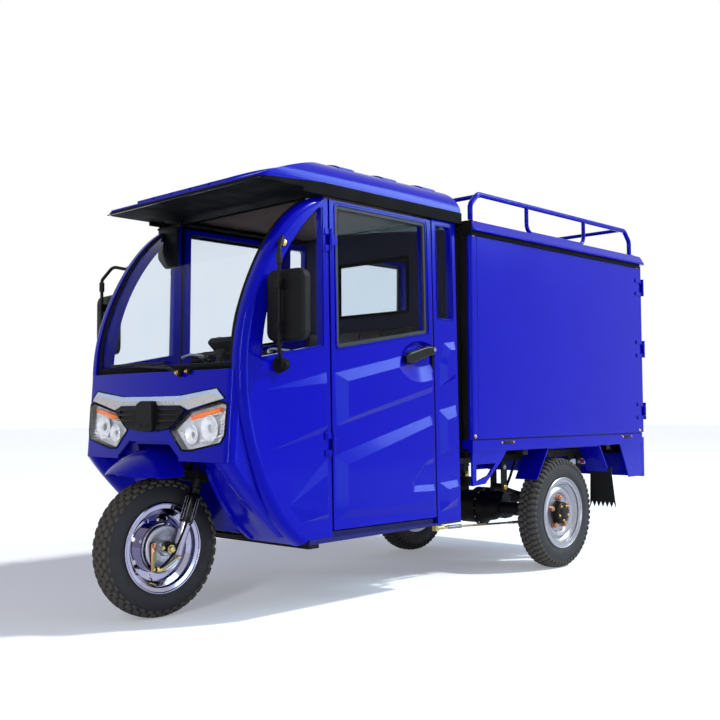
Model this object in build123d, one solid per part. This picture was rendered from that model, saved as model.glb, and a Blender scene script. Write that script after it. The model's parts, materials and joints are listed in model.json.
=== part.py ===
"""Electric cargo tricycle: one steered front wheel, an enclosed cab, a van box and a roof rack.

Millimetres. The front faces -Y, the vehicle's left is +X and +Z is up from the ground.
Lengths in the cab are counted back from the front axle, lengths under the box from the rear axle.
"""
from build123d import *
from math import cos, radians, sin, tan
import os

# Wheels and stance
wheelbase = 2016
rear_track = 935
front_tyre_radius = 261
front_tyre_width = 95
rear_tyre_radius = 267
rear_tyre_width = 100
bead_seat_radius = 152.4
rim_flange_radius = 167
rim_wall = 4
rim_half_width = 43
running_gap = 5
pin_clearance = 0.05
seat_clearance = 0.4

# Cab, lengths back from the front axle
cab_half_width = 500
cab_base_z = 300
cab_lean_angle = 0.9
panel_thickness = 30
door_thickness = 45
sheet = 4
sill_bottom = 278
sill_top = 296
floor_top = 316
door_gap = 10
door_front = 447
door_rear = 1063
door_bottom = 322
door_top = 1586
side_top = 1600
cab_rear = 1225
screen_base = 928
screen_top = 1590
pillar_depth = 48
pillar_round = 32
glass_thickness = 5
panel_rise = 12
pocket_floor = 1
recess_depth = 14
handle_standoff = 3
hinge_standoff = 10
hinge_heights = (645, 1425)
knuckle_radius = 7
hinge_pin_radius = 3
knuckle_half = 20
knuckle_end = 44
nose_y = -27
nose_bottom = 592
nose_lean_angle = 4
tunnel_half_width = 218
tunnel_top = 652
tunnel_rear = 335

mirror_tube_x = 573
mirror_width = 175
mirror_height = 255

# Cab roof
roof_half_width = 496
roof_front = 90
roof_rear = 1250
gutter_bottom = 1592
lining_bottom = 1608
roof_edge_z = 1640
roof_crown_z = 1778
visor_edge_z = 1618
visor_rear = 400
visor_corner = 34
roof_sheet = 14

# Cargo box
cab_box_gap = 61
box_half_width = 520
box_wall = 20
box_floor_top = 640
box_floor_thickness = 40
box_beam_bottom = 586
box_wall_top = 1566
box_roof_thickness = 46
box_roof_lip = 8
box_roof_overhang = 22
box_skirt_angle = 30
deck_thickness = 4
beam_step = 2
corner_post_width = 45
groove = 2
box_tail = 794
cargo_door_thickness = 20
latch_rod_radius = 9
latch_standoff = 14
cargo_door_gap = 7
cargo_hinge_heights = (760, 1100, 1440)
cargo_knuckle_half = 26
cargo_knuckle_end = 46

# Roof rack
rack_half_width = 480
rack_height = 150
rack_tube_radius = 12
rack_loop_radius = 10
rack_cross_offset = 88

# Chassis under the box
rail_x = 370
rail_width = 40
rail_bottom = 530
rail_top = 566
bearer_depth = 20
tail_panel_bottom = 404
tail_panel_top = 617
tail_panel_thickness = 20
cab_rail_x = 262
brake_rod_x = 300

# Steering
rake_angle = 20
fork_offset = 42
fork_leg_x = 80
fork_leg_radius = 19
stem_radius = 16
head_tube_radius = 25
crown_start = 264
crown_depth = 30
head_start = 402
head_length = 150
stem_length = 778
fender_half_width = 133
fender_skin = 4
front_axle_radius = 8
rear_axle_radius = 14
stud_circle = 71

# Overall length sets the origin at the middle of the footprint
box_rear_from_axle = box_tail
door_outer_from_axle = box_rear_from_axle + running_gap + cargo_door_thickness
rear_overhang = door_outer_from_axle + latch_standoff + latch_rod_radius
overall_length = front_tyre_radius + wheelbase + rear_overhang
front_axle_y = front_tyre_radius - overall_length / 2
rear_axle_y = front_axle_y + wheelbase
box_front = front_axle_y + cab_rear + cab_box_gap
box_rear = rear_axle_y + box_rear_from_axle
cargo_hinge = (box_half_width + 6, box_rear + running_gap + cargo_door_thickness + 3)
rake = radians(rake_angle)
lean = radians(cab_lean_angle)

side_plane = Plane(origin=(cab_half_width, front_axle_y, cab_base_z), x_dir=(0, 1, 0),
                   z_dir=(cos(lean), 0, sin(lean)))
steer_plane = Plane(origin=(0, front_axle_y + fork_offset, front_tyre_radius), x_dir=(1, 0, 0),
                    z_dir=(0, sin(rake), cos(rake)))


def save(name, *shapes):
    """Write one node: the solids of all its shapes."""
    solids = [solid for shape in shapes for solid in shape.solids()]
    export_step(solids[0] if len(solids) == 1 else Compound(solids), f"parts/{name}.step")


def block(x0, x1, y0, y1, z0, z1):
    """A box between two corners."""
    return Pos((x0 + x1) / 2, (y0 + y1) / 2, (z0 + z1) / 2) * Box(x1 - x0, y1 - y0, z1 - z0)


def mirrored(shape):
    """The same piece on the vehicle's other side."""
    return mirror(shape, about=Plane.YZ)


def both(shape):
    """A left piece and its right twin."""
    return [shape, mirrored(shape)]


def rod(start, end, radius):
    """A round bar between two points."""
    axis = Vector(end) - Vector(start)
    return Plane(origin=start, z_dir=axis) * Cylinder(radius, axis.length,
                                                      align=(Align.CENTER, Align.CENTER, Align.MIN))


def bent_tube(points, radius, bend):
    """A round bar along straight runs joined by arcs."""
    path = FilletPolyline(*points, radius=bend)
    return sweep(Plane(origin=path @ 0, z_dir=path % 0) * Circle(radius), path=path)


def side_face(points):
    """A face in the left side plane, from (length behind front axle, height) points."""
    return make_face(Polyline(*[side_point(y, z) for y, z in points], close=True))


def side_point(y, z):
    """A point of the side plane at a length behind the front axle and a height."""
    return (y, z - cab_base_z)


def side_slab(face, depth, start=0):
    """Thicken a side-plane face inwards, from a depth below the outer skin."""
    return extrude(side_plane.offset(-start) * face, amount=-depth)


def side_block(y0, y1, z0, z1, low, high):
    """A box on the left side plane, between two heights above its skin."""
    face = side_face([(y0, z0), (y1, z0), (y1, z1), (y0, z1)])
    return extrude(side_plane.offset(low) * face, amount=high - low)


def outline_at(points, rise):
    """An outline of (length, height) points at a rise over the side skin."""
    return side_plane.offset(rise) * side_face(points)


def raised(base, top, rise=panel_rise):
    """A pressed panel that stands up from its outline on the skin to its smaller flat top."""
    return loft([outline_at(base, -1), outline_at(top, rise)], ruled=True)


def tapered_panel(front_high, front_low, high, low, peak_high, peak_low):
    """A pressed panel that rises rearwards from nothing at its two front points."""
    corners = [(*front_high, 0), (*front_low, 0), (*low, 0), (*high, 0), (*peak_high, panel_rise),
               (*peak_low, panel_rise), (*front_high, -1), (*front_low, -1), (*low, -1), (*high, -1)]
    points = [side_plane.from_local_coords((*side_point(y, z), rise)) for y, z, rise in corners]
    sides = [(0, 4, 5), (0, 5, 1), (0, 3, 4), (1, 5, 2), (3, 2, 5), (3, 5, 4), (0, 1, 7, 6), (1, 2, 8, 7),
             (2, 3, 9, 8), (3, 0, 6, 9), (6, 7, 8, 9)]
    faces = [Face(Wire.make_polygon([points[i] for i in side])) for side in sides]
    return Solid(Shell(faces))


def profile_across(face, half_width):
    """Carry a face drawn as (length, height) across the vehicle."""
    plane = Plane(origin=(-half_width, front_axle_y, 0), x_dir=(0, 1, 0), z_dir=(1, 0, 0))
    return extrude(plane * face, amount=2 * half_width)


# ---------------------------------------------------------------- cab side curves
arch_outer = [(284, 278), (176, 381), (60, 601), (10, 812), (19, 1058), (88, 1258), (208, 1451),
              (330, 1560),
              (434, side_top)]
arch_inner = [(318, 297), (178, 454), (94, 635), (54, 811), (71, 1006), (132, 1249), (235, 1415),
              (330, 1512),
              (431, 1588)]
screen_curve = [(0, 780), (8, 928), (19, 1058), (88, 1258), (208, 1451), (330, 1560), (434, 1618)]
quarter_low, quarter_mid, quarter_high = (102, 966), (178, 1262), (392, 1542)


def shift(points, dy):
    """Move an outline along the vehicle."""
    return [(y + dy, z) for y, z in points]


def front_pillar():
    """The bowed pillar from the floor's front corner up to the roof."""
    outer = Spline(*[side_point(y, z) for y, z in arch_outer])
    inner = Spline(*[side_point(y, z) for y, z in arch_inner])
    face = make_face([outer, inner, Line(outer @ 1, inner @ 1), Line(inner @ 0, outer @ 0)])
    pillar = side_slab(face, pillar_depth)
    nose_edge = min(pillar.edges().filter_by(GeomType.BSPLINE),
                    key=lambda e: e.center().Y - 10 * e.center().X)
    return fillet(nose_edge, pillar_round)


def front_quarter_opening():
    """The window outline in the front quarter panel."""
    curve = ThreePointArc(side_point(*quarter_low), side_point(*quarter_mid), side_point(*quarter_high))
    corner_top, corner_low = side_point(408, 1545), side_point(402, 1022)
    lines = [Line(curve @ 1, corner_top), Line(corner_top, corner_low), Line(corner_low, curve @ 0)]
    return make_face([curve, *lines])


def front_quarter_panel():
    """The fixed panel between the pillar and the door, with its window opening."""
    inner = Spline(*[side_point(y + seat_clearance, z) for y, z in arch_inner])
    edge = door_front - door_gap / 2
    top, low = side_point(edge, side_top - 10), side_point(edge, sill_top + seat_clearance)
    face = make_face([inner, Line(inner @ 1, top), Line(top, low), Line(low, inner @ 0)])
    panel = side_slab(face - front_quarter_opening(), panel_thickness)
    panel = panel + tapered_panel((114, 847), (140, 631), (424, 917), (424, 694), (414, 875), (413, 717))
    panel = panel + tapered_panel((223, 427), (290, 364), (424, 598), (424, 370), (411, 532), (412, 387))
    for z in hinge_heights:
        panel = panel + hinge_rod(z - knuckle_end, z + knuckle_end, hinge_pin_radius)
        for z0, z1 in ((z - knuckle_end, z - knuckle_half - seat_clearance),
                       (z + knuckle_half + seat_clearance, z + knuckle_end)):
            panel = panel + hinge_rod(z0, z1, knuckle_radius)
            panel = panel + side_block(door_front - 28, door_front, z0, z1, 3, 9)
            panel = panel + side_block(door_front - 38, door_front - 8, z0, z1, -1, 6)
    return panel


def hinge_rod(z0, z1, radius):
    """A round bar on the cab door's hinge line between two heights."""
    low, high = [side_plane.from_local_coords((*side_point(door_front, z), hinge_standoff)) for z in (z0,
                                                                                                      z1)]
    return rod(low, high, radius)


def rear_quarter_opening():
    corners = [(1098, 1166), (1195, 1166), (1195, 1570), (1098, 1570)]
    face = side_face(corners)
    return fillet(face.vertices(), 14)


def rear_quarter_panel():
    """The fixed panel behind the door."""
    edge = door_rear + door_gap / 2
    bottom = sill_top + seat_clearance
    face = side_face([(edge, bottom), (cab_rear, bottom), (cab_rear, side_top), (edge, side_top)])
    panel = side_slab(face - rear_quarter_opening(), panel_thickness)
    panel = panel + raised([(1096, 975), (1132, 1062), (1206, 1072), (1206, 905), (1096, 868)],
                           [(1144, 966), (1167, 1031), (1200, 1034), (1200, 930), (1144, 903)])
    panel = panel + raised([(1088, 776), (1206, 797), (1206, 602), (1088, 577)],
                           [(1137, 728), (1200, 746), (1200, 614), (1137, 596)])
    return panel + raised([(1080, 467), (1206, 473), (1206, 357), (1080, 338)],
                          [(1131, 434), (1200, 443), (1200, 397), (1131, 368)])


def door_opening():
    corners = [(484, 1012), (1024, 1098), (1024, 1568), (484, 1568)]
    return fillet(side_face(corners).vertices(), 16)


def door_face():
    front, rear = door_front + door_gap / 2, door_rear - door_gap / 2
    return side_face([(front, door_bottom), (rear, door_bottom), (rear, door_top), (front, door_top)])


def cab_door():
    """The left door: a hollow-edged panel as thick as the whole door."""
    door = side_slab(door_face() - door_opening(), door_thickness)
    door = door + raised([(462, 918), (1048, 1036), (1048, 846), (470, 710)],
                         [(530, 886), (1040, 990), (1040, 871), (530, 743)])
    door = door + raised([(458, 606), (1030, 752), (1047, 740), (1047, 344), (458, 361)],
                         [(522, 566), (1030, 709), (1038, 706), (1038, 390), (522, 393)])
    pocket = loft([outline_at([(1070, 460), (924, 462), (918, 478), (982, 540), (1070, 556)], pocket_floor),
                   outline_at([(1070, 432), (901, 434), (890, 471), (978, 555), (1070, 583)],
                              panel_rise + 1)],
                  ruled=True)
    dish = loft([side_plane.offset(-recess_depth) * Pos(*side_point(985, 1000)) * Ellipse(92, 46),
                 side_plane.offset(panel_rise) * Pos(*side_point(968, 982)) * Ellipse(148, 92)])
    door = door - pocket - dish
    for z in hinge_heights:
        z0, z1 = z - knuckle_half, z + knuckle_half
        knuckle = hinge_rod(z0, z1, knuckle_radius) + side_block(door_front, door_front + 28, z0, z1, 3, 9)
        knuckle = knuckle + side_block(door_front + 8, door_front + 38, z0, z1, -1, 6)
        door = door + (knuckle - hinge_rod(z0 - 1, z1 + 1, hinge_pin_radius + pin_clearance))
    return door


def pane(opening, depth):
    """Glass that fits an opening with the seat clearance."""
    return side_slab(offset(opening, amount=-seat_clearance), glass_thickness, start=depth)


def door_handle():
    """Pull handle that stands across the dished recess on two feet."""
    bar = side_face([(868, 968), (900, 962), (1044, 1008), (1054, 1016), (1054, 1040), (1000, 1041),
                     (886, 1010),
                     (866, 996)])
    grip = extrude(side_plane.offset(handle_standoff) * bar, amount=22)
    grip = fillet(grip.faces().sort_by(Axis.X)[-1].edges(), 8)
    feet = [rod(*[side_plane.from_local_coords((*side_point(y, z), rise)) for rise in (-recess_depth,
                                                                                       handle_standoff + 1)],
                9) for y, z in ((908, 990), (1030, 1022))]
    return grip + feet[0] + feet[1]


# ---------------------------------------------------------------- nose
def nose_solid(grow):
    """The bowed nose as a closed block, grown outwards by a distance."""
    half, y = 468 + grow, nose_y - grow
    shoulder = 432
    front = ThreePointArc((-shoulder, y + 8), (0, y - 8), (shoulder, y + 8))
    left = ThreePointArc((shoulder, y + 8), (half - 9, y + 20), (half, y + 52))
    right = ThreePointArc((-half, y + 52), (-half + 9, y + 20), (-shoulder, y + 8))
    back = Polyline((half, y + 52), (half, 140), (-half, 140), (-half, y + 52))
    plan = make_face([front, left, back, right])
    tall = extrude(Plane(origin=(0, front_axle_y, 400)) * plan, amount=700)
    return tall.rotate(Axis((0, front_axle_y + nose_y, 780), (1, 0, 0)), -nose_lean_angle)


def front_prism(points, y0=-90, y1=40):
    """An outline of the front view, (x, z), carried along the vehicle."""
    plane = Plane(origin=(0, front_axle_y + y1, 0), x_dir=(1, 0, 0), z_dir=(0, -1, 0))
    return extrude(plane * make_face(Polyline(*points, close=True)), amount=y1 - y0)


lamp_outline = [(141, 703), (213, 634), (262, 633), (418, 662), (438, 690), (442, 796), (409, 805),
                (235, 771)]
grille_outline = [(-190, 792), (-224, 778), (-206, 758), (-136, 708), (0, 696), (136, 708), (206, 758),
                  (224, 778),
                  (190, 792)]
badge_outline = [(-50, 700), (50, 700), (50, 800), (34, 808), (-34, 808), (-50, 800)]
garnish_outline = [(-190, 829), (-386, 853), (-428, 818), (-238, 777), (-192, 793), (192, 793), (238, 777),
                   (428, 818),
                   (386, 853), (190, 829)]


def behind_pillars(setback=-seat_clearance):
    """Everything behind the pillars' front edge, moved back by a distance."""
    edge = Spline(*shift(arch_outer, setback))
    back = Polyline(edge @ 1, (900, side_top), (900, 278), edge @ 0)
    return profile_across(make_face([edge, back]), 600)


def inside_width(inset):
    """The space between the two leaning side planes, inset from the outer skin."""
    run = (1800 - 100) * tan(lean)
    low = cab_half_width - inset + (cab_base_z - 100) * tan(lean)
    face = make_face(Polyline((-low, 100), (low, 100), (low - run, 1800), (-low + run, 1800), close=True))
    plane = Plane(origin=(0, front_axle_y + 1500, 0), x_dir=(1, 0, 0), z_dir=(0, -1, 0))
    return extrude(plane * face, amount=1800)


def front_fascia():
    """Moulded nose mask between the pillars, open for lamps, grille and the fender."""
    shell = nose_solid(0) - nose_solid(-sheet - 2)
    cowl = nose_solid(-sheet) & block(-460, 460, front_axle_y - 60, front_axle_y + 60, screen_base - 12,
                                      screen_base - 8)
    band = block(-600, 600, front_axle_y - 200, front_axle_y + 200, nose_bottom, screen_base - 6)
    fascia = (shell & band) + cowl
    half_notch = [(122, 664), (140, 648), (196, 606), (196, 500)]
    notch = front_prism(half_notch + [(-x, z) for x, z in reversed(half_notch)])
    ledge = block(-121, 121, front_axle_y - 120, front_axle_y + 20, 660, 667)
    backing = block(-121, 121, front_axle_y - 120, front_axle_y + 20, 650, 667)
    fascia = fascia - notch + (ledge & (nose_solid(0) - nose_solid(-24)))
    fascia = fascia + (backing & (nose_solid(-18) - nose_solid(-24)))
    for outline in (lamp_outline, [(-x, z) for x, z in lamp_outline]):
        fascia = fascia - front_prism(outline, -90, 12)
    fascia = fascia - front_prism(grille_outline, -90,
                                  0) - badge_block(seat_clearance) - wiper_pivot(seat_clearance)
    return (fascia - behind_pillars()) & inside_width(0)


def badge_block(grow):
    """Plain block that stands out in the middle of the grille, grown by a clearance."""
    outline = offset(make_face(Polyline(*badge_outline, close=True)), amount=grow) if grow else make_face(
        Polyline(*badge_outline, close=True))
    plane = Plane(origin=(0, front_axle_y - 18, 0), x_dir=(1, 0, 0), z_dir=(0, -1, 0))
    return extrude(plane * outline, amount=43)


def headlamp():
    """Clear lens and body of the left lamp."""
    outline = make_face(Polyline(*lamp_outline, close=True))
    small = offset(outline, amount=-seat_clearance)
    plane = Plane(origin=(0, front_axle_y + 10, 0), x_dir=(1, 0, 0), z_dir=(0, -1, 0))
    return extrude(plane * small, amount=100) & nose_solid(4)


def grille():
    """Black grille with slats and a plain centre block."""
    outline = offset(make_face(Polyline(*grille_outline, close=True)), amount=-seat_clearance)
    plane = Plane(origin=(0, front_axle_y - 4, 0), x_dir=(1, 0, 0), z_dir=(0, -1, 0))
    body = extrude(plane * outline, amount=80) & nose_solid(10)
    for z in (722, 744, 766):
        body = body - (front_prism([(-190, z), (-62, z), (-62, z + 12), (-190, z + 12)]) - nose_solid(4))
        body = body - (front_prism([(62, z), (190, z), (190, z + 12), (62, z + 12)]) - nose_solid(4))
    return body + badge_block(0)


def lamp_garnish():
    """Bright kinked strip over the lamps and the grille."""
    band = nose_solid(9) - nose_solid(seat_clearance)
    return (front_prism(garnish_outline) & band) - badge_block(seat_clearance)


def windscreen():
    """Single-curved glass between the pillars."""
    outer = Spline(*shift(screen_curve, 10))
    inner = Spline(*shift(screen_curve, 10 + glass_thickness + 1))
    face = make_face([outer, inner, Line(outer @ 1, inner @ 1), Line(inner @ 0, outer @ 0)])
    band = block(-600, 600, front_axle_y - 50, front_axle_y + 600, screen_base - 4, screen_top)
    return profile_across(face, 600) & band & inside_width(pillar_depth + seat_clearance)


def lower_apron():
    """Curved sheet under the nose with cheeks, a flanged wheel arch and the wheel's tunnel behind it."""
    outer = Spline(*shift(arch_outer[:5], 6))
    inner = Spline(*shift(arch_outer[:5], 6 + sheet))
    face = make_face([outer, inner, Line(outer @ 1, inner @ 1), Line(inner @ 0, outer @ 0)])
    between = inside_width(pillar_depth + seat_clearance)
    curved = profile_across(face, 600) & between
    flange = profile_across(make_face([Spline(*shift(arch_outer[:5], -6)),
                                       Line(outer_start(-6, 1), outer_start(7, 1)),
                                       Spline(*shift(arch_outer[:5], 7)),
                                       Line(outer_start(7, 0), outer_start(-6, 0))]),
                              600)
    flange = flange & front_prism(arch_rim(22), -200, 400) & block(-600, 600, -2000, 0, 284, 560)
    y0, y1 = front_axle_y - 20, front_axle_y + tunnel_rear
    wide, top = tunnel_half_width, tunnel_top
    curved = curved - block(-600, 600, y0 - 200, y1, 690, 1200)
    sheet_parts = curved + flange + cheek() + mirrored(cheek())
    sheet_parts = sheet_parts - front_prism(arch_rim(0), -200, 400)
    outer_box = block(-wide - sheet, wide + sheet, y0, y1 + sheet, sill_bottom + 12, top + sheet)
    inner_box = block(-wide, wide, y0 - 10, y1, 0, top)
    ahead = profile_across(make_face([Spline(*shift(arch_outer, 7)),
                                      Polyline(arch_end(1), (-300, side_top), (-300, 278), arch_end(0))]),
                                      600)
    return sheet_parts + (outer_box - inner_box - ahead - steering_hole())


def outer_start(dy, which):
    """Lower (0) or upper (1) end of the apron's curve, moved along the vehicle."""
    y, z = arch_outer[4] if which else arch_outer[0]
    return (y + dy, z)


def arch_rim(grow):
    """Front view of the wheel arch, grown by a flange width."""
    half = [(212 + grow, 200), (212 + grow, 392 + grow / 2), (209 + grow, 452 + grow / 2),
            (206 + grow, 500 + grow),
            (206 + grow, 654)]
    return half + [(-x, z) for x, z in reversed(half)]


def cheek():
    """Left cheek: it carries the nose's rounded corner down and back into the curved sheet."""
    sections = []
    for z, front, back in ((nose_bottom - seat_clearance, -36, 74), (500, 40, 114), (410, 130, 162),
                           (310, 236, 250)):
        edge = 468 - (nose_bottom - z) * 0.05
        curve = Spline((300, back), (350, (back + front) / 2), (400, front), (436, front + 5),
                       (edge - 8, front + 18),
                       (edge, front + 46))
        sides = Polyline((edge, front + 46), (edge, back + 60), (300, back + 60), (300, back))
        sections.append(Plane(origin=(0, front_axle_y, z)) * make_face([curve, sides]))
    solid = loft(sections)
    between = solid & inside_width(pillar_depth + seat_clearance)
    return (solid - behind_pillars(-2 * seat_clearance)) + (between - behind_pillars(6 + sheet / 2))


def arch_end(which):
    """Lower (0) or upper (1) end of the apron's cutting curve."""
    y, z = arch_outer[-1] if which else arch_outer[0]
    return (y + 7, z)


def steering_hole():
    """Hole in the tunnel's top for the steering head."""
    return steer_plane * Cylinder(head_tube_radius + seat_clearance, 1200)


def cab_floor():
    """Floor pan with a folded sill down each side."""
    y0, y1 = front_axle_y + 292, front_axle_y + cab_rear
    half = cab_half_width - panel_thickness - 1
    pan = block(-half, half, y0, y1, floor_top - sheet - 2, floor_top)
    beside_pillar = block(cab_half_width - pillar_depth - 1, half + 1, y0 - 1, front_axle_y + 325, 300, 330)
    pan = pan - beside_pillar - mirrored(beside_pillar)
    pan = pan - block(-tunnel_half_width - sheet - 1, tunnel_half_width + sheet + 1, y0 - 10,
                      front_axle_y + tunnel_rear + sheet + 1, 0, 600)
    for post in dash_posts():
        pan = pan - offset(post, amount=seat_clearance)
    sill_face = side_face([(324, sill_bottom), (cab_rear, sill_bottom + 10), (cab_rear, sill_top),
                           (324, sill_top)])
    sill = side_slab(sill_face, door_thickness)
    front, rear = door_front + door_gap / 2, door_rear - door_gap / 2
    step = side_slab(side_face([(front, sill_top), (rear, sill_top), (rear, floor_top),
                                (front, floor_top)]),
                     door_thickness - 16, start=16)
    return pan + sill + step + mirrored(sill) + mirrored(step)


def cab_rear_wall():
    """Back wall of the cab with its window opening."""
    y1 = front_axle_y + cab_rear - 4
    y0 = y1 - 18
    wall = block(-600, 600, y0, y1, floor_top,
                 lining_bottom) & inside_width(panel_thickness + seat_clearance)
    return wall - block(-222, 222, y0 - 5, y1 + 5, 1222, 1469)


def cab_rear_window():
    y1 = front_axle_y + cab_rear - 10
    c = seat_clearance
    return block(-222 + c, 222 - c, y1 - glass_thickness, y1, 1222 + c, 1469 - c)


# ---------------------------------------------------------------- cab roof
def roof_profile(rise):
    """Side view of the roof skin, raised by a rib's height."""
    z0 = roof_edge_z
    top = Spline((roof_front, visor_edge_z + 8 + rise), (roof_front + 170, z0 + 48 + rise),
                 (600, roof_crown_z - 12 + rise), (1090, roof_crown_z + rise),
                 (1195, roof_crown_z - 36 + rise),
                 (roof_rear, z0 + 20 + rise))
    ends = Polyline(top @ 1, (roof_rear, z0), (visor_rear, z0), (roof_front, visor_edge_z), top @ 0)
    return make_face([top, ends])


def roof_section(rise):
    """Front view of the roof skin."""
    half, z0, crown = roof_half_width, roof_edge_z, roof_crown_z + rise
    side = ThreePointArc((half, z0), (half - 26, z0 + 66), (half - 100, z0 + 100 + rise))
    top = ThreePointArc(side @ 1, (0, crown), (-half + 100, z0 + 100 + rise))
    other = ThreePointArc(top @ 1, (-half + 26, z0 + 66), (-half, z0))
    skirt = Polyline(other @ 1, (-half, z0 - 60), (half, z0 - 60), (half, z0))
    face = make_face([side, top, other, skirt])
    plane = Plane(origin=(0, front_axle_y + 2000, 0), x_dir=(1, 0, 0), z_dir=(0, -1, 0))
    return extrude(plane * face, amount=2500)


def rounded_plan(half_width, front, rear, radius):
    """The roof's plan with rounded front corners, as a tall block."""
    plan = Pos(0, (front + rear + radius) / 2, 0) * RectangleRounded(2 * half_width, rear - front + radius,
                                                                     radius)
    tall = extrude(Pos(0, front_axle_y, 1500) * plan, amount=500)
    return tall & block(-600, 600, -2000, front_axle_y + rear, 1500, 2000)


def cab_roof():
    """Moulded roof skin with a visor, five long ribs in front and three cross ribs behind."""
    shell = profile_across(roof_profile(0), 600) & roof_section(0)
    skin = shell & rounded_plan(roof_half_width, roof_front, roof_rear, visor_corner)
    ribs = profile_across(roof_profile(10), 600) & roof_section(10)
    rib_pitch, rib_width, cross_half = 122, 104, 42
    for i in range(-2, 3):
        x = i * rib_pitch
        skin = skin + (ribs & block(x - rib_width / 2, x + rib_width / 2, front_axle_y + roof_front + 14,
                                    front_axle_y + 440, roof_edge_z - 10, 1900))
    for y in (590, 845, 1100):
        skin = skin + (ribs & block(-440, 440, front_axle_y + y - cross_half, front_axle_y + y + cross_half,
                                    roof_edge_z, 1900))
    hollow = Pos(0, 0, -roof_sheet) * shell
    hollow = hollow & block(-455, 455, front_axle_y + roof_front + 40, front_axle_y + roof_rear - 40, 1500,
                            1900)
    return skin - hollow


def roof_lining():
    """Black lining, gutter and visor underside."""
    front, rear = roof_front - 6, roof_rear + 4
    y1 = front_axle_y + rear
    half = roof_half_width + 3
    drop = (roof_edge_z - visor_edge_z) / (visor_rear - roof_front)
    side = make_face(Polyline((front, lining_bottom), (front, visor_edge_z - 6 * drop),
                              (visor_rear, roof_edge_z),
                              (rear, roof_edge_z), (rear, lining_bottom), close=True))
    lining = profile_across(side, half) & rounded_plan(half, front, rear, visor_corner + 3)
    gutter = block(half - 14, half, front_axle_y + 300, y1, gutter_bottom, lining_bottom)
    lining = lining + gutter + mirrored(gutter)
    return lining - block(-430, 430, front_axle_y + 470, front_axle_y + cab_rear - 40, lining_bottom - 5,
                          roof_edge_z - 12)


# ---------------------------------------------------------------- cab inside
def dashboard():
    """Grey shelf behind the windscreen with a sloping front."""
    face = make_face(Polyline((42, 800), (34, 936), (70, 948), (215, 944), (232, 900), (170, 800),
                              close=True))
    slot = steer_plane * Cylinder(70, 1600)
    return (profile_across(face, 600) & inside_width(pillar_depth + seat_clearance)) - slot


def battery_box():
    """Closed box under the seat that the batteries fill."""
    return block(-400, 400, front_axle_y + 740, front_axle_y + cab_rear - 24, floor_top, 600)


def seat_cushion():
    cushion = block(-415, 415, front_axle_y + 690, front_axle_y + 1080, 600.3, 690)
    return fillet(cushion.edges().filter_by(Axis.X, reverse=True), 18)


def seat_back():
    face = make_face(Polyline((1084, 690.6), (1062, 700), (1130, 1180), (cab_rear - 22.6, 1180),
                              (cab_rear - 22.6, 690.6), close=True))
    return profile_across(face, 415)


def skin_x(z):
    """Half width of the cab's outer skin at a height."""
    return cab_half_width - (z - cab_base_z) * tan(lean)


def mirror_arm():
    """Bent tube from the pillar, through the mirror, to a foot below the quarter window."""
    y = front_axle_y
    high, low = (y + 196, 1385), (y + 184, 940)
    high_x, low_x = skin_x(high[1]), skin_x(low[1])
    tube = bent_tube([(high_x + 10, *high), (548, y + 150, 1400), (mirror_tube_x, y + 111, 1340),
                      (mirror_tube_x, y + 111, 992), (low_x + 16, *low)], 7, 26)
    foot = rod((low_x + 1, *low), (low_x + 30, *low), 22)
    clamp = rod((high_x + 1, *high), (high_x + 20, *high), 14)
    return tube + foot + clamp


def mirror_head():
    """Rounded black housing clamped on the tube."""
    housing = fillet(Box(mirror_width, 34, mirror_height).edges().filter_by(Axis.Y), 34)
    front = fillet(housing.faces().sort_by(Axis.Y)[0].edges(), 12)
    head = Pos(578, front_axle_y + 146, 1147) * Rot(0, 0, 8) * front
    grips = [block(mirror_tube_x - 12, mirror_tube_x + 12, front_axle_y + 100, front_axle_y + 136, z - 16,
                   z + 16)
             for z in (1070, 1220)]
    return head + grips[0] + grips[1]


def wiper_pivot(grow):
    """Wiper spindle through the nose, grown by a clearance."""
    return rod((186, front_axle_y + 12, 912), (186, front_axle_y - 42, 914), 9 + grow)


def wiper():
    """Wiper arm and blade along the foot of the windscreen."""
    y = front_axle_y
    knee, tip = (120, y - 36, 934), (-150, y + 4, 950)
    arm = rod((186, y - 36, 914), knee, 5) + rod(knee, tip, 5)
    blade = block(-330, 40, y + 4, y + 15, 952, 962)
    link = block(-156, -144, y - 1, y + 10, 946, 956)
    return wiper_pivot(0) + arm + blade + link


# ---------------------------------------------------------------- steering
def at_fork(x, forward, up):
    """A point given across, forwards and up along the steering axis."""
    return steer_plane.from_local_coords((x, -forward, up))


def front_fork():
    """Two legs, crown, stem and axle with its lugs."""
    wheel_forward, wheel_up = fork_offset * cos(rake), -fork_offset * sin(rake)
    legs = [rod(at_fork(x, 0, -24), at_fork(x, 0, crown_start + 10), fork_leg_radius) for x in (-fork_leg_x,
                                                                                                fork_leg_x)]
    crown = steer_plane * (Pos(0, 0, crown_start + crown_depth / 2) * Box(2 * fork_leg_x + 52, 58,
                                                                          crown_depth))
    stem = rod(at_fork(0, 0, crown_start + crown_depth - 1), at_fork(0, 0, stem_length), stem_radius)
    axle = rod((-104, front_axle_y, front_tyre_radius), (104, front_axle_y, front_tyre_radius),
               front_axle_radius)
    fork = legs[0] + legs[1] + crown + stem + axle
    for x in (-fork_leg_x, fork_leg_x):
        lug = steer_plane * (Pos(x, -wheel_forward / 2, wheel_up / 2) * Box(12, wheel_forward + 34, 38))
        fork = fork + lug
    under_fender = Pos(0, 0, -fender_skin - seat_clearance) * fender_block()
    for x in (-60, 60):
        end = at_fork(x, 150, crown_start + 34)
        pad = block(x - 12, x + 12, end.Y - 22, end.Y + 16, end.Z - 8, end.Z + 60)
        fork = fork + rod(at_fork(x, 20, crown_start + 18), end, 6) + (pad & under_fender)
    return fork


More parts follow.
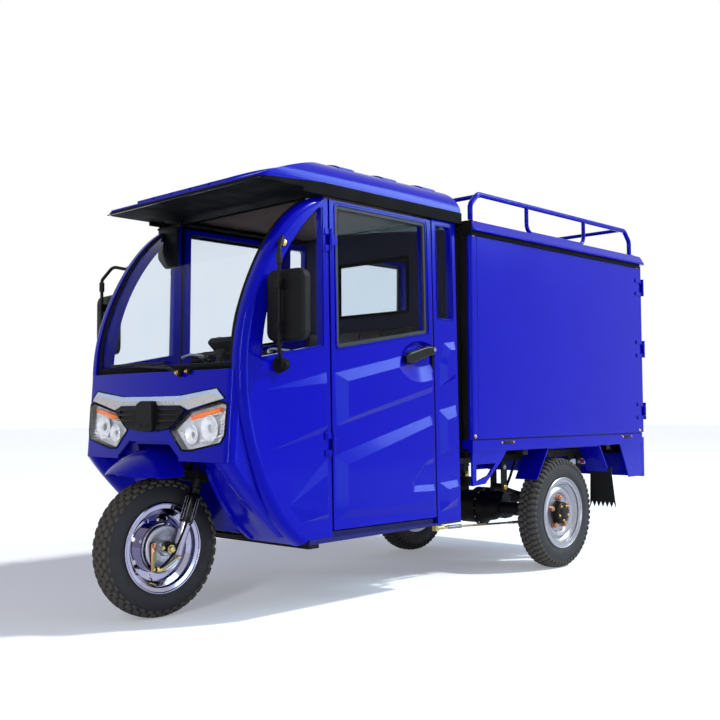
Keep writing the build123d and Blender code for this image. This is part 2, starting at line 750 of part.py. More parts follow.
def handlebar():
    """Swept-back bar with its clamp on the stem."""
    top = stem_length + 14
    left = [at_fork(90, -12, top), at_fork(215, -88, top + 26), at_fork(330, -110, top + 26)]
    right = [at_fork(-330, -110, top + 26), at_fork(-215, -88, top + 26), at_fork(-90, -12, top)]
    bar = bent_tube([tuple(point) for point in right + left], 11, 40)
    clamp = steer_plane * (Pos(0, 6, top) * Box(52, 44, 28))
    return bar + clamp


def fender_block():
    """The fender's outer form as a closed block, from its bill back to the steering head."""
    sections = []
    for y, half, low, top in ((-192, 40, 538, 548), (-170, 88, 532, 570), (-120, 122, 528, 604),
                              (-50, 133, 528, 631),
                              (30, 133, 530, 628)):
        dome = Spline((-half, low + 8), (-half * 0.86, low + (top - low) * 0.52),
                      (-half * 0.45, top - (top - low) * 0.1),
                      (0, top), (half * 0.45, top - (top - low) * 0.1),
                      (half * 0.86, low + (top - low) * 0.52),
                      (half, low + 8))
        base = Polyline((half, low + 8), (half, low), (-half, low), (-half, low + 8))
        sections.append(Plane(origin=(0, front_axle_y + y, 0), x_dir=(1, 0, 0),
                              z_dir=(0, -1, 0)) * make_face([dome, base]))
    return loft(sections)


def front_fender():
    """Duck-bill fender over the steered wheel."""
    y, inner_half = front_axle_y, fender_half_width - fender_skin
    outer = fender_block()
    inner = Pos(0, 0, -fender_skin) * outer
    return outer - (inner & block(-inner_half, inner_half, y - 300, y + 100, 400, 700))


# ---------------------------------------------------------------- wheels
def tyre_section(radius, width):
    """Half-round carcass with flat tread, drawn as (x, r)."""
    half, tread = width / 2, width * 0.36
    bead = rim_half_width - rim_wall - seat_clearance
    lip_r, sidewall_r = rim_flange_radius + 1, radius * 0.78
    wall = ThreePointArc((bead, lip_r), (half, sidewall_r), (tread, radius - 9))
    crown = ThreePointArc((tread, radius - 9), (0, radius), (-tread, radius - 9))
    other = ThreePointArc((-tread, radius - 9), (-half, sidewall_r), (-bead, lip_r))
    beads = Polyline((-bead, lip_r), (-bead, bead_seat_radius), (bead, bead_seat_radius), (bead, lip_r))
    return make_face([wall, crown, other, beads])


def turned(face, x, y, z):
    """Revolve an (x, r) face about the wheel axis through a point."""
    solid = revolve(Plane(origin=(0, 0, 0), x_dir=(1, 0, 0), z_dir=(0, -1, 0)) * face, axis=Axis.X)
    return Pos(x, y, z) * solid


def rim_barrel():
    """Rolled rim: flanges, bead seats and a drop centre."""
    r, w, half = bead_seat_radius - seat_clearance, rim_wall, rim_half_width
    outer = [(half, rim_flange_radius), (half - w, rim_flange_radius), (half - w, r), (20, r), (14, r - 22),
             (-14, r - 22), (-20, r), (-half + w, r), (-half + w, rim_flange_radius),
             (-half, rim_flange_radius)]
    inner = [(-half, r - w), (-20, r - w), (-14, r - 22 - w), (14, r - 22 - w), (20, r - w), (half, r - w)]
    return make_face(Polyline(*outer, *inner, close=True))


def front_rim():
    """Rim with a pierced disc and a drum hub."""
    disc = make_face(Polyline((-3, 84), (-3, 127), (3, 127), (3, 84), close=True))
    hub = make_face(Polyline((-46, front_axle_radius + pin_clearance), (-46, 30), (-18, 36), (-12, 86),
                             (-3, 94),
                             (38, 94), (38, 86), (6, 82), (6, 34), (34, 30),
                             (34, front_axle_radius + pin_clearance),
                             close=True))
    wheel = turned(rim_barrel(), 0, 0, 0) + turned(disc, 0, 0, 0) + turned(hub, 0, 0, 0)
    for i in range(8):
        angle = radians(45 * i + 20)
        hole = Pos(0, 111 * sin(angle), 111 * cos(angle)) * Rot(0, 90, 0) * Cylinder(9, 30)
        wheel = wheel - hole
    return Pos(0, front_axle_y, front_tyre_radius) * wheel


def front_brake_plate():
    """Fixed brake plate with its actuating arm on the left of the front hub."""
    y, z = front_axle_y, front_tyre_radius
    plate = rod((43.5, y, z), (52, y, z), 82)
    boss = rod((51, y, z), (60, y, z), 24)
    arm = block(52, 58, y - 62, y - 46, z - 74, z + 26)
    pin = rod((50, y - 54, z + 14), (62, y - 54, z + 14), 8)
    return plate + boss + arm + pin


def rear_rim():
    """Disc wheel: rim barrel and dished disc."""
    disc = make_face(Polyline((14, 54.4), (14, 89), (24, 98), (28, 112), (20, 127), (15, 127), (22, 112),
                              (18, 101),
                              (9, 94), (9, 54.4), close=True))
    return turned(rim_barrel(), rear_track / 2, rear_axle_y, rear_tyre_radius) + turned(
        disc, rear_track / 2, rear_axle_y, rear_tyre_radius)


def rear_hub():
    """Brake drum, hub nose and five wheel studs."""
    bore = rear_axle_radius + pin_clearance
    body = make_face(Polyline((-52, bore), (-52, 40), (-46, 92), (-2, 92), (8.6, 88), (8.6, 54), (43, 52),
                              (50, 44),
                              (50, 0), (12, 0), (12, bore), close=True))
    hub = turned(body, 0, 0, 0)
    for i in range(5):
        angle = radians(72 * i)
        y, z = stud_circle * sin(angle), stud_circle * cos(angle)
        hub = hub + Pos(0, y, z) * rod((6, 0, 0), (16, 0, 0), 6) + Pos(0, y, z) * rod((14.2, 0, 0),
                                                                                      (34, 0, 0), 11)
    return Pos(rear_track / 2, rear_axle_y, rear_tyre_radius) * hub


# ---------------------------------------------------------------- rear axle and springs
spring_half_length = 325
spring_eye_z = 405
spring_seat_z = 312


def rear_axle():
    """Axle tube with differential, coaxial motor, brake plates, shafts and spring pads."""
    y, z = rear_axle_y, rear_tyre_radius
    end = rear_track / 2 - 52 - running_gap
    axle = rod((-end, y, z), (end, y, z), 33)
    profile = make_face(Polyline((-110, 0), (-110, 60), (-92, 84), (40, 84), (70, 70), (110, 62), (150, 40),
                                 (150, 0),
                                 close=True))
    axle = axle + Pos(0, y, z) * revolve(Plane(origin=(0, 0, 0), x_dir=(1, 0, 0),
                                               z_dir=(0, -1, 0)) * profile,
                                         axis=Axis.X)
    axle = axle + rod((-100, y + 120, z + 12), (110, y + 120, z + 12), 74)
    axle = axle + block(-90, 90, y, y + 120, z - 50, z + 60)
    reach = rear_track / 2 + 11
    axle = axle + rod((-reach, y, z), (reach, y, z), rear_axle_radius)
    for side in (-1, 1):
        axle = axle + rod((side * (end - 8), y, z), (side * end, y, z), 88)
        axle = axle + block(side * rail_x - 30, side * rail_x + 30, y - 45, y + 45, z, spring_seat_z)
        axle = axle + block(side * brake_rod_x - 8, side * brake_rod_x + 8, y - 56, y - 20, 196, 262)
    return axle


def leaf_spring():
    """Five-leaf spring, front hanger and rear shackle, on the left."""
    y = rear_axle_y
    leaves = None
    for i in range(5):
        reach = spring_half_length - i * 58
        bottom = spring_seat_z + (4 - i) * 9
        rise = (spring_eye_z - 348) * (reach / spring_half_length) ** 2
        arc = ThreePointArc((y - reach, bottom + rise), (y, bottom), (y + reach, bottom + rise))
        top = ThreePointArc((y + reach, bottom + rise + 9), (y, bottom + 9), (y - reach, bottom + rise + 9))
        face = make_face([arc, Line(arc @ 1, top @ 0), top, Line(top @ 1, arc @ 0)])
        leaf = extrude(Plane(origin=(rail_x - 25, 0, 0), x_dir=(0, 1, 0), z_dir=(1, 0, 0)) * face,
                       amount=50)
        leaves = leaf if leaves is None else leaves + leaf
    for end in (-1, 1):
        eye_y = y + end * (spring_half_length + 6)
        leaves = leaves + rod((rail_x - 25, eye_y, spring_eye_z), (rail_x + 25, eye_y, spring_eye_z), 18)
        for x in (rail_x - 34, rail_x + 26):
            leaves = leaves + block(x, x + 8, eye_y - 20, eye_y + 20, spring_eye_z - 22, rail_bottom)
        leaves = leaves + rod((rail_x - 36, eye_y, spring_eye_z), (rail_x + 36, eye_y, spring_eye_z), 8)
    for bolt_y in (y - 26, y + 26):
        leaves = leaves + block(rail_x - 36, rail_x + 36, bolt_y - 6, bolt_y + 6, spring_seat_z + 45,
                                spring_seat_z + 53)
    return leaves


def brake_rods():
    """Rods from the cab rails' brackets back to the axle's levers."""
    start_y, end_y = box_front + 30, rear_axle_y - 56.5
    pull = rod((brake_rod_x, start_y, 240), (brake_rod_x, end_y, 212), 5)
    fork_end = rod((brake_rod_x, start_y - 14, 241), (brake_rod_x, start_y + 34, 238), 9)
    bracket = block(cab_rail_x + 20.4, brake_rod_x + 6, start_y - 24, start_y - 10, 226, floor_top - 20)
    return pull + fork_end + bracket


# ---------------------------------------------------------------- chassis
def gusset(points, x0, x1):
    """A plate in the length-height plane between two widths."""
    face = make_face(Polyline(*points, close=True))
    return extrude(Plane(origin=(x0, 0, 0), x_dir=(0, 1, 0), z_dir=(1, 0, 0)) * face, amount=x1 - x0)


def dash_posts():
    """Two posts from the cab rails up to the bar that carries the steering head."""
    y0 = front_axle_y + tunnel_rear + 6
    return [block(x - 18, x + 18, y0, y0 + 36, floor_top - 8, 760) for x in (-cab_rail_x, cab_rail_x)]


def chassis_frame():
    """Ladder frame under the box, cab rails with an outrigger, and the steering head."""
    tail = box_rear - 4
    frame = None
    pieces = []
    for side in (-1, 1):
        x = side * rail_x
        pieces.append(block(x - rail_width / 2, x + rail_width / 2, box_front, tail, rail_bottom, rail_top))
        c = side * cab_rail_x
        pieces.append(block(c - 20, c + 20, front_axle_y + 300, box_front + 40, sill_bottom - 8,
                            floor_top - 6))
        pieces.append(block(c - 20, c + 20, box_front, box_front + 40, sill_bottom - 8, rail_top))
    pieces += dash_posts()
    for y in (box_front, box_front + 420, rear_axle_y + 456, tail - 40):
        pieces.append(block(-box_half_width + 24, box_half_width - 24, y, y + 40, rail_top - 6,
                            rail_top + bearer_depth))
    pieces.append(block(-box_half_width + 24, box_half_width - 24, box_front, box_front + 40, 438, 478))
    pieces.append(block(-cab_rail_x, cab_rail_x, front_axle_y + tunnel_rear + 6,
                        front_axle_y + tunnel_rear + 42,
                        724, 760))
    pieces.append(block(-470, 470, front_axle_y + 345, front_axle_y + 400, sill_bottom - 20,
                        sill_bottom - seat_clearance))
    head = rod(at_fork(0, 0, head_start), at_fork(0, 0, head_start + head_length), head_tube_radius)
    neck = block(-14, 14, front_axle_y + 236, front_axle_y + tunnel_rear + 10, 664, 750)
    pieces += [head, neck]
    for piece in pieces:
        frame = piece if frame is None else frame + piece
    return frame - rod(at_fork(0, 0, head_start - 40), at_fork(0, 0, head_start + head_length + 40),
                       stem_radius + pin_clearance)


def mudguard():
    """Bent plate over a rear wheel: front slope, flat top and rear slope."""
    y, t = rear_axle_y, sheet
    top = box_beam_bottom - seat_clearance
    points = [(y - 228, 440), (y - 131, top), (y + 352, top), (y + 440, 447)]
    inner = [(y + 440 - t, 445), (y + 350 - t, top - t), (y - 129 + t, top - t), (y - 228 + t, 438)]
    return gusset(points + inner, rail_x + rail_width / 2 + 2, box_half_width - 3)


def mud_flap():
    """Rubber flap with a toothed lower edge behind a rear wheel."""
    y = rear_axle_y + 440 + seat_clearance
    x0, x1, low = 402, 552, 262
    teeth = 6
    pitch = (x1 - x0) / teeth
    points = [(x0 + 4, 470), (x0, low)]
    for i in range(teeth):
        points += [(x0 + (i + 0.5) * pitch, low + 30), (x0 + (i + 1) * pitch, low)]
    points += [(x1 - 26, 470)]
    plane = Plane(origin=(0, y, 0), x_dir=(1, 0, 0), z_dir=(0, -1, 0))
    return extrude(plane * make_face(Polyline(*points, close=True)), amount=-5)


def tail_lamp():
    y = box_rear + 1 + tail_panel_thickness
    lamp = block(372, 492, y, y + 20, 470, 556)
    return fillet(lamp.edges().filter_by(Axis.Y), 10)


# ---------------------------------------------------------------- cargo box
def cargo_floor():
    """Floor slab with its deck, the deep outer beams, corner plates and the tail panel."""
    slab = block(-box_half_width + 2, box_half_width - 2, box_front, box_rear,
                 box_floor_top - box_floor_thickness,
                 box_floor_top)
    inner = box_half_width - box_wall - seat_clearance
    deck = block(-inner, inner, box_front + box_wall + seat_clearance, box_rear, box_floor_top - 1,
                 box_floor_top + deck_thickness)
    outer = box_half_width + beam_step
    beam = block(-outer, outer, box_front, box_rear, box_beam_bottom, box_floor_top)
    beam = beam - block(-box_half_width + 24, box_half_width - 24, box_front - 10, box_rear + 10, 400,
                        box_floor_top - box_floor_thickness + 10)
    floor = slab + beam + deck
    low, high, tail = box_half_width - 12, box_half_width - 2, box_rear + 1
    into_beam = box_beam_bottom + 4
    y = box_front
    front_plate = gusset([(y + 2, into_beam), (y + 2, 438), (y + 95, 444), (y + 205, 532),
                          (y + 265, into_beam)],
                         low, high)
    front_plate = front_plate - gusset([(y + 30, 532), (y + 30, 456), (y + 118, 480), (y + 172, 532)],
                                       low - 5, high + 5)
    rear_plate = gusset([(box_rear - 240, into_beam), (box_rear - 148, 408), (tail, 408),
                         (tail, into_beam)],
                        box_half_width - 6, box_half_width - 1)
    for plate in (front_plate, rear_plate):
        floor = floor + plate + mirrored(plate)
    return floor + block(-box_half_width, box_half_width, box_rear - 3, tail + tail_panel_thickness,
                         tail_panel_bottom,
                         tail_panel_top)


def cargo_side():
    """Flat side wall with a rounded front edge."""
    wall = block(box_half_width - box_wall, box_half_width, box_front, box_rear, box_floor_top,
                 box_wall_top)
    edge = wall.edges().filter_by(Axis.Z).sort_by(lambda e: e.center().Y - e.center().X)[0]
    wall = fillet(edge, 16)
    post_edge = box_front + corner_post_width
    wall = wall - block(box_half_width - groove, box_half_width + 1, post_edge, post_edge + 3,
                        box_floor_top - 1,
                        box_wall_top + 1)
    x, y = cargo_hinge
    for z in cargo_hinge_heights:
        wall = wall + rod((x, y, z - cargo_knuckle_end), (x, y, z + cargo_knuckle_end), hinge_pin_radius)
        for z0, z1 in ((z - cargo_knuckle_end, z - cargo_knuckle_half - seat_clearance),
                       (z + cargo_knuckle_half + seat_clearance, z + cargo_knuckle_end)):
            wall = wall + rod((x, y, z0), (x, y, z1), knuckle_radius)
            wall = wall + block(box_half_width - 1, box_half_width + 5, box_rear - 44, box_rear, z0, z1)
            wall = wall + block(box_half_width, box_half_width + 5, box_rear - 1, y, z0, z1)
    return wall


def cargo_front_wall():
    inner = box_half_width - box_wall
    return block(-inner, inner, box_front, box_front + box_wall, box_floor_top, box_wall_top)


def cargo_roof():
    """Overhanging roof tray with a sloping skirt."""
    half = box_half_width + box_roof_overhang
    y0, y1 = box_front - 12, box_rear + running_gap + cargo_door_thickness + 10
    plan = Pos(0, (y0 + y1) / 2, 0) * RectangleRounded(2 * half, y1 - y0, 18)
    lip = extrude(Pos(0, 0, box_wall_top) * plan, amount=box_roof_lip)
    skirt = extrude(Pos(0, 0, box_wall_top + box_roof_lip) * plan, amount=box_roof_thickness - box_roof_lip,
                    taper=box_skirt_angle)
    inner = box_half_width - box_wall
    return lip + skirt - block(-inner, inner, box_front + box_wall, box_rear, box_wall_top - 5,
                               box_wall_top + 24)


def cargo_door():
    """Left rear door with three hinge knuckles at its outer edge."""
    y0 = box_rear + running_gap
    gap = running_gap
    door = block(cargo_door_gap / 2, box_half_width - 2, y0, y0 + cargo_door_thickness, box_floor_top + gap,
                 box_wall_top - gap - 1)
    x, y = cargo_hinge
    for z in cargo_hinge_heights:
        z0, z1 = z - cargo_knuckle_half, z + cargo_knuckle_half
        knuckle = rod((x, y, z0), (x, y, z1), knuckle_radius) + block(box_half_width - 70, x, y - 4, y + 1,
                                                                      z0, z1)
        door = door + (knuckle - rod((x, y, z0 - 1), (x, y, z1 + 1), hinge_pin_radius + pin_clearance))
    return door


def cargo_latch(side):
    """Upright locking rod with guides and a handle."""
    y = box_rear + running_gap + cargo_door_thickness
    x = side * 70
    latch = rod((x, y + latch_standoff, box_floor_top + 20), (x, y + latch_standoff, box_wall_top - 26),
                latch_rod_radius)
    for z in (720, 1000, 1480):
        latch = latch + block(x - 16, x + 16, y, y + latch_standoff, z - 14, z + 14)
    latch = latch + block(*sorted((x, x + side * 150)), y + 6, y + 16, 1066, 1090)
    return latch


def roof_rack():
    """Tube rack: two long hoops, each with a hanging loop, and two cross bars."""
    z0 = box_wall_top + box_roof_thickness
    top = z0 + rack_height - rack_tube_radius
    low = z0 + rack_loop_radius
    y0, y1 = box_front + 55, box_rear - 30
    loop_front, loop_rear = y0 + 445, y0 + 963
    rack = None
    for x in (-rack_half_width, rack_half_width):
        hoop = bent_tube([(x, y0, z0), (x, y0, z0 + 84), (x, y0 + 56, top), (x, y1 - 52, top),
                          (x, y1, z0 + 84),
                          (x, y1, z0)], rack_tube_radius, 38)
        loop = bent_tube([(x, loop_front, top), (x, loop_front, low), (x, loop_rear, low),
                          (x, loop_rear, top)],
                         rack_loop_radius, 44)
        side = hoop + loop
        rack = side if rack is None else rack + side
    for y in (y0 + rack_cross_offset, y1 - rack_cross_offset):
        rack = rack + rod((-rack_half_width, y, top), (rack_half_width, y, top), rack_loop_radius)
    return rack


def cab_box_seal():
    """Black frame that closes the gap between the cab and the box."""
    y0, y1 = front_axle_y + cab_rear + seat_clearance, box_front - seat_clearance
    frame = block(-462, 462, y0, y1, 600, box_wall_top - 6)
    return frame - block(-440, 440, y0 - 5, y1 + 5, 620, box_wall_top - 26)


# ---------------------------------------------------------------- write every node
os.makedirs("parts", exist_ok=True)

save("front_pillars", *both(front_pillar()))
save("front_quarter_panels", *both(front_quarter_panel()))
save("rear_quarter_panels", *both(rear_quarter_panel()))
save("fixed_glass", *both(pane(front_quarter_opening(), 10)), *both(pane(rear_quarter_opening(), 10)),
     cab_rear_window())
save("front_fascia", front_fascia())
save("headlamps", *both(headlamp()))
save("grille", grille())
save("lamp_garnish", lamp_garnish())
save("windscreen", windscreen())
save("lower_apron", lower_apron())
save("cab_floor", cab_floor())
save("cab_rear_wall", cab_rear_wall())
save("cab_roof", cab_roof())
save("roof_lining", roof_lining())
save("dashboard", dashboard())
save("battery_box", battery_box())
save("seat_cushion", seat_cushion())
save("seat_back", seat_back())
save("mirrors", *both(mirror_arm() + mirror_head()))
save("wiper", wiper())
save("chassis_frame", chassis_frame())
save("mudguards", *both(mudguard()))
save("mud_flaps", *both(mud_flap()))
save("tail_lamps", *both(tail_lamp()))
save("rear_axle", rear_axle())
save("leaf_springs", *both(leaf_spring()))
save("brake_rods", *both(brake_rods()))
save("cargo_floor", cargo_floor())
save("cargo_sides", *both(cargo_side()))
save("cargo_front_wall", cargo_front_wall())
save("cargo_roof", cargo_roof())
save("roof_rack", roof_rack())
save("cab_box_seal", cab_box_seal())

left_door = {"cab_door": cab_door(), "door_glass": pane(door_opening(), 16), "door_handle": door_handle()}
for name, shape in left_door.items():
    save(f"{name}_left", shape)
    save(f"{name}_right", mirrored(shape))

save("cargo_door_left", cargo_door(), cargo_latch(1))
save("cargo_door_right", mirrored(cargo_door()), cargo_latch(-1))

save("front_fork", front_fork() + front_brake_plate())
save("handlebar", handlebar())
save("front_fender", front_fender())
save("front_tyre", turned(tyre_section(front_tyre_radius, front_tyre_width), 0, front_axle_y,
                          front_tyre_radius))
save("front_rim", front_rim())

rear_wheel = {
    "rear_tyre": turned(tyre_section(rear_tyre_radius, rear_tyre_width), rear_track / 2, rear_axle_y,
                        rear_tyre_radius),
    "rear_rim": rear_rim() + rear_hub()}
for name, shape in rear_wheel.items():
    save(f"{name}_left", shape)
    save(f"{name}_right", mirrored(shape))
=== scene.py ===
"""Looks of the electric cargo tricycle: finishes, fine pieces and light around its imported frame.

The front faces -Y, the vehicle's left is +X and +Z is up. Lengths are in millimetres until they are
placed; cab lengths count back from the front axle, as (length, height) on the side skin.
"""
import bmesh
import bpy
import json
from math import cos, pi, radians, sin, tan
from mathutils import Matrix, Vector


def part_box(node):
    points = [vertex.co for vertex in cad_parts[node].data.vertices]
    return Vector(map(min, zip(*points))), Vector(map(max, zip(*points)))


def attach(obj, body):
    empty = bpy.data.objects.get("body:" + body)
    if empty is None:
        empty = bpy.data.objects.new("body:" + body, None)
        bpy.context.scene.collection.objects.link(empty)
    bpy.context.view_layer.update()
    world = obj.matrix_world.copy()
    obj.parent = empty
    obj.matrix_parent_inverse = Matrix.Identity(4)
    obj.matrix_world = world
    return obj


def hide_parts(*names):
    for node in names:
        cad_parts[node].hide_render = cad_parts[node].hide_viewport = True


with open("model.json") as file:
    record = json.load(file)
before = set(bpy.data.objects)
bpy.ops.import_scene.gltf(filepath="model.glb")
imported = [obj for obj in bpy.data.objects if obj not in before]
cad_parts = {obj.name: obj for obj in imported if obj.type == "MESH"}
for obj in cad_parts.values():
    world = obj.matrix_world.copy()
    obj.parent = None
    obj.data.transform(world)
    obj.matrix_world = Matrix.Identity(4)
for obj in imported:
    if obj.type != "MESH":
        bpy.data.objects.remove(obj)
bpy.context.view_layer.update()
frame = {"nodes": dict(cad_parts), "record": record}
nodes = frame["nodes"]
slot_of = {part["node"]: part["material_slot"] for part in frame["record"]["subparts"]}


def corners(node):
    """Low and high corner of a node's box, in millimetres."""
    return [Vector(corner) * 1000 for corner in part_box(node)]


def centre(node):
    """Middle of a node's box, in metres."""
    low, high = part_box(node)
    return (Vector(low) + Vector(high)) / 2


front_axle = centre("front_tyre")
rear_axle = centre("rear_tyre_left")
rear_y = rear_axle.y * 1000
floor_low, floor_high = corners("cargo_floor")
roof_low, roof_high = corners("cargo_roof")
y_front, tail_y = floor_low.y, floor_high.y
y_back = tail_y - 21
wall_x = 520  # outer face of the box's walls
rack_x = 480  # legs of the roof rack

# ---------------------------------------------------------------- finishes


def linear(code):
    """A linear colour from its sRGB hex value."""
    channels = [int(code[i:i + 2], 16) / 255 for i in (0, 2, 4)]
    return tuple(c / 12.92 if c < 0.04045 else ((c + 0.055) / 1.055) ** 2.4 for c in channels) + (1.0,)


def add(tree, kind, inputs=(), **settings):
    """Add one node with its settings, values and links."""
    node = tree.nodes.new("ShaderNode" + kind)
    for name, value in settings.items():
        setattr(node, name, value)
    for socket, value in dict(inputs).items():
        if isinstance(value, bpy.types.NodeSocket):
            tree.links.new(value, node.inputs[socket])
        else:
            node.inputs[socket].default_value = value
    return node


sockets = {"specular": "Specular IOR Level", "tint": "Specular Tint", "coat": "Coat Weight",
           "coat_rough": "Coat Roughness", "clear": "Transmission Weight", "ior": "IOR"}


def finish(name, code, other, rough, patch=60, grain=None, edge=0.0, metal=0.0, **more):
    """A surface that wanders between two colours and roughnesses over patches, with a fine relief.

    patch is a patch's size in mm, grain is the relief's (size, height) in mm, edge rounds sharp
    edges by metres, and more holds values for the sockets listed above.
    """
    material = bpy.data.materials.new(name)
    material.use_nodes = True
    tree = material.node_tree
    tree.nodes.clear()
    place = add(tree, "TexCoord").outputs["Object"]
    cloud = add(tree, "TexNoise", {"Vector": place, "Scale": 1000 / patch, "Detail": 3.0}).outputs["Fac"]
    mix = add(tree, "Mix", {"Factor": cloud, "A": linear(code), "B": linear(other)}, data_type="RGBA")
    low, high = rough
    shine = add(tree, "MapRange", {"Value": cloud, "From Min": 0.3, "From Max": 0.7, "To Min": low,
                                   "To Max": high}).outputs[0]
    inputs = {"Base Color": mix.outputs["Result"], "Roughness": shine, "Metallic": metal}
    normal = add(tree, "Bevel", {"Radius": edge}, samples=4).outputs[0] if edge else None
    if grain:
        size, height = grain
        relief = add(tree, "TexNoise", {"Vector": place, "Scale": 1000 / size, "Detail": 2.0}).outputs["Fac"]
        bump = {"Height": relief, "Distance": height / 1000, "Strength": 1.0}
        if normal:
            bump["Normal"] = normal
        normal = add(tree, "Bump", bump).outputs[0]
    if normal:
        inputs["Normal"] = inputs["Coat Normal"] = normal
    inputs.update((sockets[word], value) for word, value in more.items())
    shader = add(tree, "BsdfPrincipled", inputs)
    add(tree, "OutputMaterial", {"Surface": shader.outputs[0]})
    return material


# Real reliefs of 0.1 to 2 mm are too fine to show, so each is drawn as coarse as the size it is given.
# Sprayed acrylic enamel: deep even blue under a clear coat that throws sharp pale reflections
# over a faint orange peel (2 mm ripples, drawn at 9 mm to show).
enamel = finish("sprayed_blue_enamel", "070696", "0807A0", (0.16, 0.22), 300, (9, 0.012), 0.0022,
                coat=0.09, coat_rough=0.06, specular=0.16, tint=linear("2E6BFF"))
# The same enamel inside and under the body, made flat and darker as painted shade.
enamel_painted_shade = finish("blue_enamel_painted_shade", "0A0F62", "0A0C50", (0.45, 0.6), 80, (5, 0.02), 0.0015, specular=0.2)
# Matt blue-black on the cab's rear wall, darker than the body blue as painted shade inside the cab: a quiet ground
# behind the seat.
rear_wall_painted_shade = finish("cab_wall_painted_shade", "13152B", "181A35", (0.55, 0.65), 60, (3, 0.03), 0.001, specular=0.2)
# Moulded ABS, fine pebbled grain (1 mm, drawn at 2.5 mm): dark satin with soft edges.
abs_black = finish("moulded_black_abs", "08080A", "0D0D10", (0.42, 0.54), 50, (2.5, 0.05), 0.0018, specular=0.12)
# ABS from a polished mould: near black with a narrow wet highlight.
abs_gloss = finish("polished_black_abs", "050507", "08080A", (0.14, 0.22), 50, None, 0.002, specular=0.22)
# Grained ABS of the dashboard: mid grey and softly matt.
abs_grey = finish("moulded_grey_abs", "43464B", "4D5157", (0.45, 0.55), 60, (2.5, 0.05), 0.0018, specular=0.3)
# Moulded board under the roof: swallows light, so that the visor stays black from below.
visor_black = finish("moulded_visor_board", "070708", "0B0B0C", (0.6, 0.75), 80, (3, 0.04), 0.0015, specular=0.05)
# Extruded EPDM rubber seal: matt black with a powdery bloom.
seal_rubber = finish("extruded_epdm", "090909", "0F0F0F", (0.7, 0.85), 25, (2, 0.03), 0.001, specular=0.08)
# Anodised aluminium of the window frames: dark olive with a satin edge.
olive_frame = finish("anodised_window_frame", "1B1D1C", "232522", (0.4, 0.5), 80, (1.5, 0.01), 0.001, specular=0.25)
# The same frame with a thin pale line along its inner lip: a painted highlight on its edge.
frame_edge_highlight = finish("frame_edge_painted_highlight", "5A5D5C", "6C6F6C", (0.4, 0.55), 30, None, 0.0, 0.3)
# Cured tyre rubber of the walls: near black with a dull sheen.
wall_rubber = finish("tyre_wall_rubber", "1A1A1D", "262629", (0.5, 0.7), 30, (3, 0.05), 0.0008, specular=0.3)
# The same rubber scuffed by the road to dusty grey-brown blocks, lightened partly by real dust and partly as painted
# light on the lit tread.
tread_dust_and_sheen = finish("tread_rubber_dust_and_sheen", "35322F", "524D47", (0.7, 0.9), 18, (3, 0.12), 0.0008, specular=0.25)
# Bright chromium over polished steel: mirror with a faint violet cast painted into its colour, a painted reflection of
# the coloured surroundings.
chrome = finish("chromium_plate", "918EA4", "A8A5B9", (0.05, 0.1), 70, None, 0.0008, 1.0)
# Aluminium paint on the pressed disc wheels: fine metal flakes, soft broad shine.
silver_paint = finish("aluminium_wheel_paint", "8E8D93", "A2A1A8", (0.28, 0.38), 20, (1.5, 0.02), 0.001, 0.75)
# Die-cast aluminium as it leaves the die: pale grey with a broad dull shine.
cast_alloy = finish("die_cast_alloy", "9C9EA6", "AEB0B8", (0.3, 0.42), 15, (2, 0.03), 0.0008, 0.9)
# Yellow zinc passivation: gold with green and pink clouds.
zinc_gold = finish("yellow_zinc_passivate", "C8AE72", "A9A070", (0.25, 0.4), 12, (2, 0.02), 0.0006, 1.0)
# Copper-washed steel of the nuts: warm pink-brown metal, darker in clouds.
copper_zinc = finish("copper_washed_steel", "C99478", "A97C62", (0.28, 0.4), 10, None, 0.0006, 1.0)
# Turned brass: clean yellow with small sharp glints.
brass = finish("turned_brass", "C9AE6C", "B3965A", (0.2, 0.3), 10, None, 0.0004, 1.0)
# Bright zinc plate: cool grey bolts that catch the light.
zinc = finish("bright_zinc_plate", "9DA0A6", "B4B7BD", (0.25, 0.38), 12, None, 0.0005, 1.0)
# Chassis black: brushed-on enamel, slightly brown with road dust in patches.
chassis_black = finish("brushed_chassis_enamel", "0D0C0C", "161312", (0.4, 0.65), 35, (6, 0.05), 0.001,
                       specular=0.16)
# Moulded flap rubber: rougher than the tyres and greyed by dust.
flap_rubber = finish("moulded_flap_rubber", "101010", "191818", (0.6, 0.8), 30, (4, 0.08), 0.0008, specular=0.2)
# Bonded fibre headliner board: mouse brown felt (fibres 0.3 mm, drawn at 2 mm).
felt = finish("headliner_felt", "63493E", "75584B", (0.85, 0.95), 14, (2, 0.15))
# Aluminised reflector: pale silver, with a shallow hammered relief that breaks up its shine.
lamp_silver = finish("aluminised_reflector", "F0F0F4", "DADAE0", (0.18, 0.3), 12, (9, 0.25), 0.0, 0.3)
# White ABS bezel: plain and satin, so that the lamp looks lit from inside.
lamp_white = finish("white_lamp_bezel", "D6D6DC", "E4E4E9", (0.3, 0.4), 20, None, 0.0008)
# Amber polycarbonate, ribbed on its back: an even warm orange.
amber = finish("amber_polycarbonate", "F06A18", "FF8328", (0.2, 0.3), 8, (6, 0.2), 0.0005, coat=0.08, specular=0.3)
# Red polycarbonate: deep red under a thin gloss.
red_lens = finish("red_polycarbonate", "86070B", "9C0A0F", (0.2, 0.3), 8, (6, 0.2), 0.001, coat=0.08, specular=0.3)
# Satin aluminium trim that mirrors the sky, coloured pale blue as a painted reflection of the sky.
trim_sky_painted = finish("trim_painted_sky_reflection", "B9CBE6", "A9C0E4", (0.22, 0.3), 40, (1.5, 0.01), 0.0006, 0.35)
# The same trim where it leans towards the ground: warm champagne grey, a painted reflection of the ground.
trim_ground_painted = finish("trim_painted_ground_reflection", "B3AEAB", "BFBBB8", (0.25, 0.35), 40, (1.5, 0.01), 0.0006, 0.25)
# Grained vinyl over foam: small leather-like creases (1.5 mm, drawn at 4 mm).
vinyl = finish("grained_black_vinyl", "17171A", "202024", (0.42, 0.55), 25, (4, 0.18))
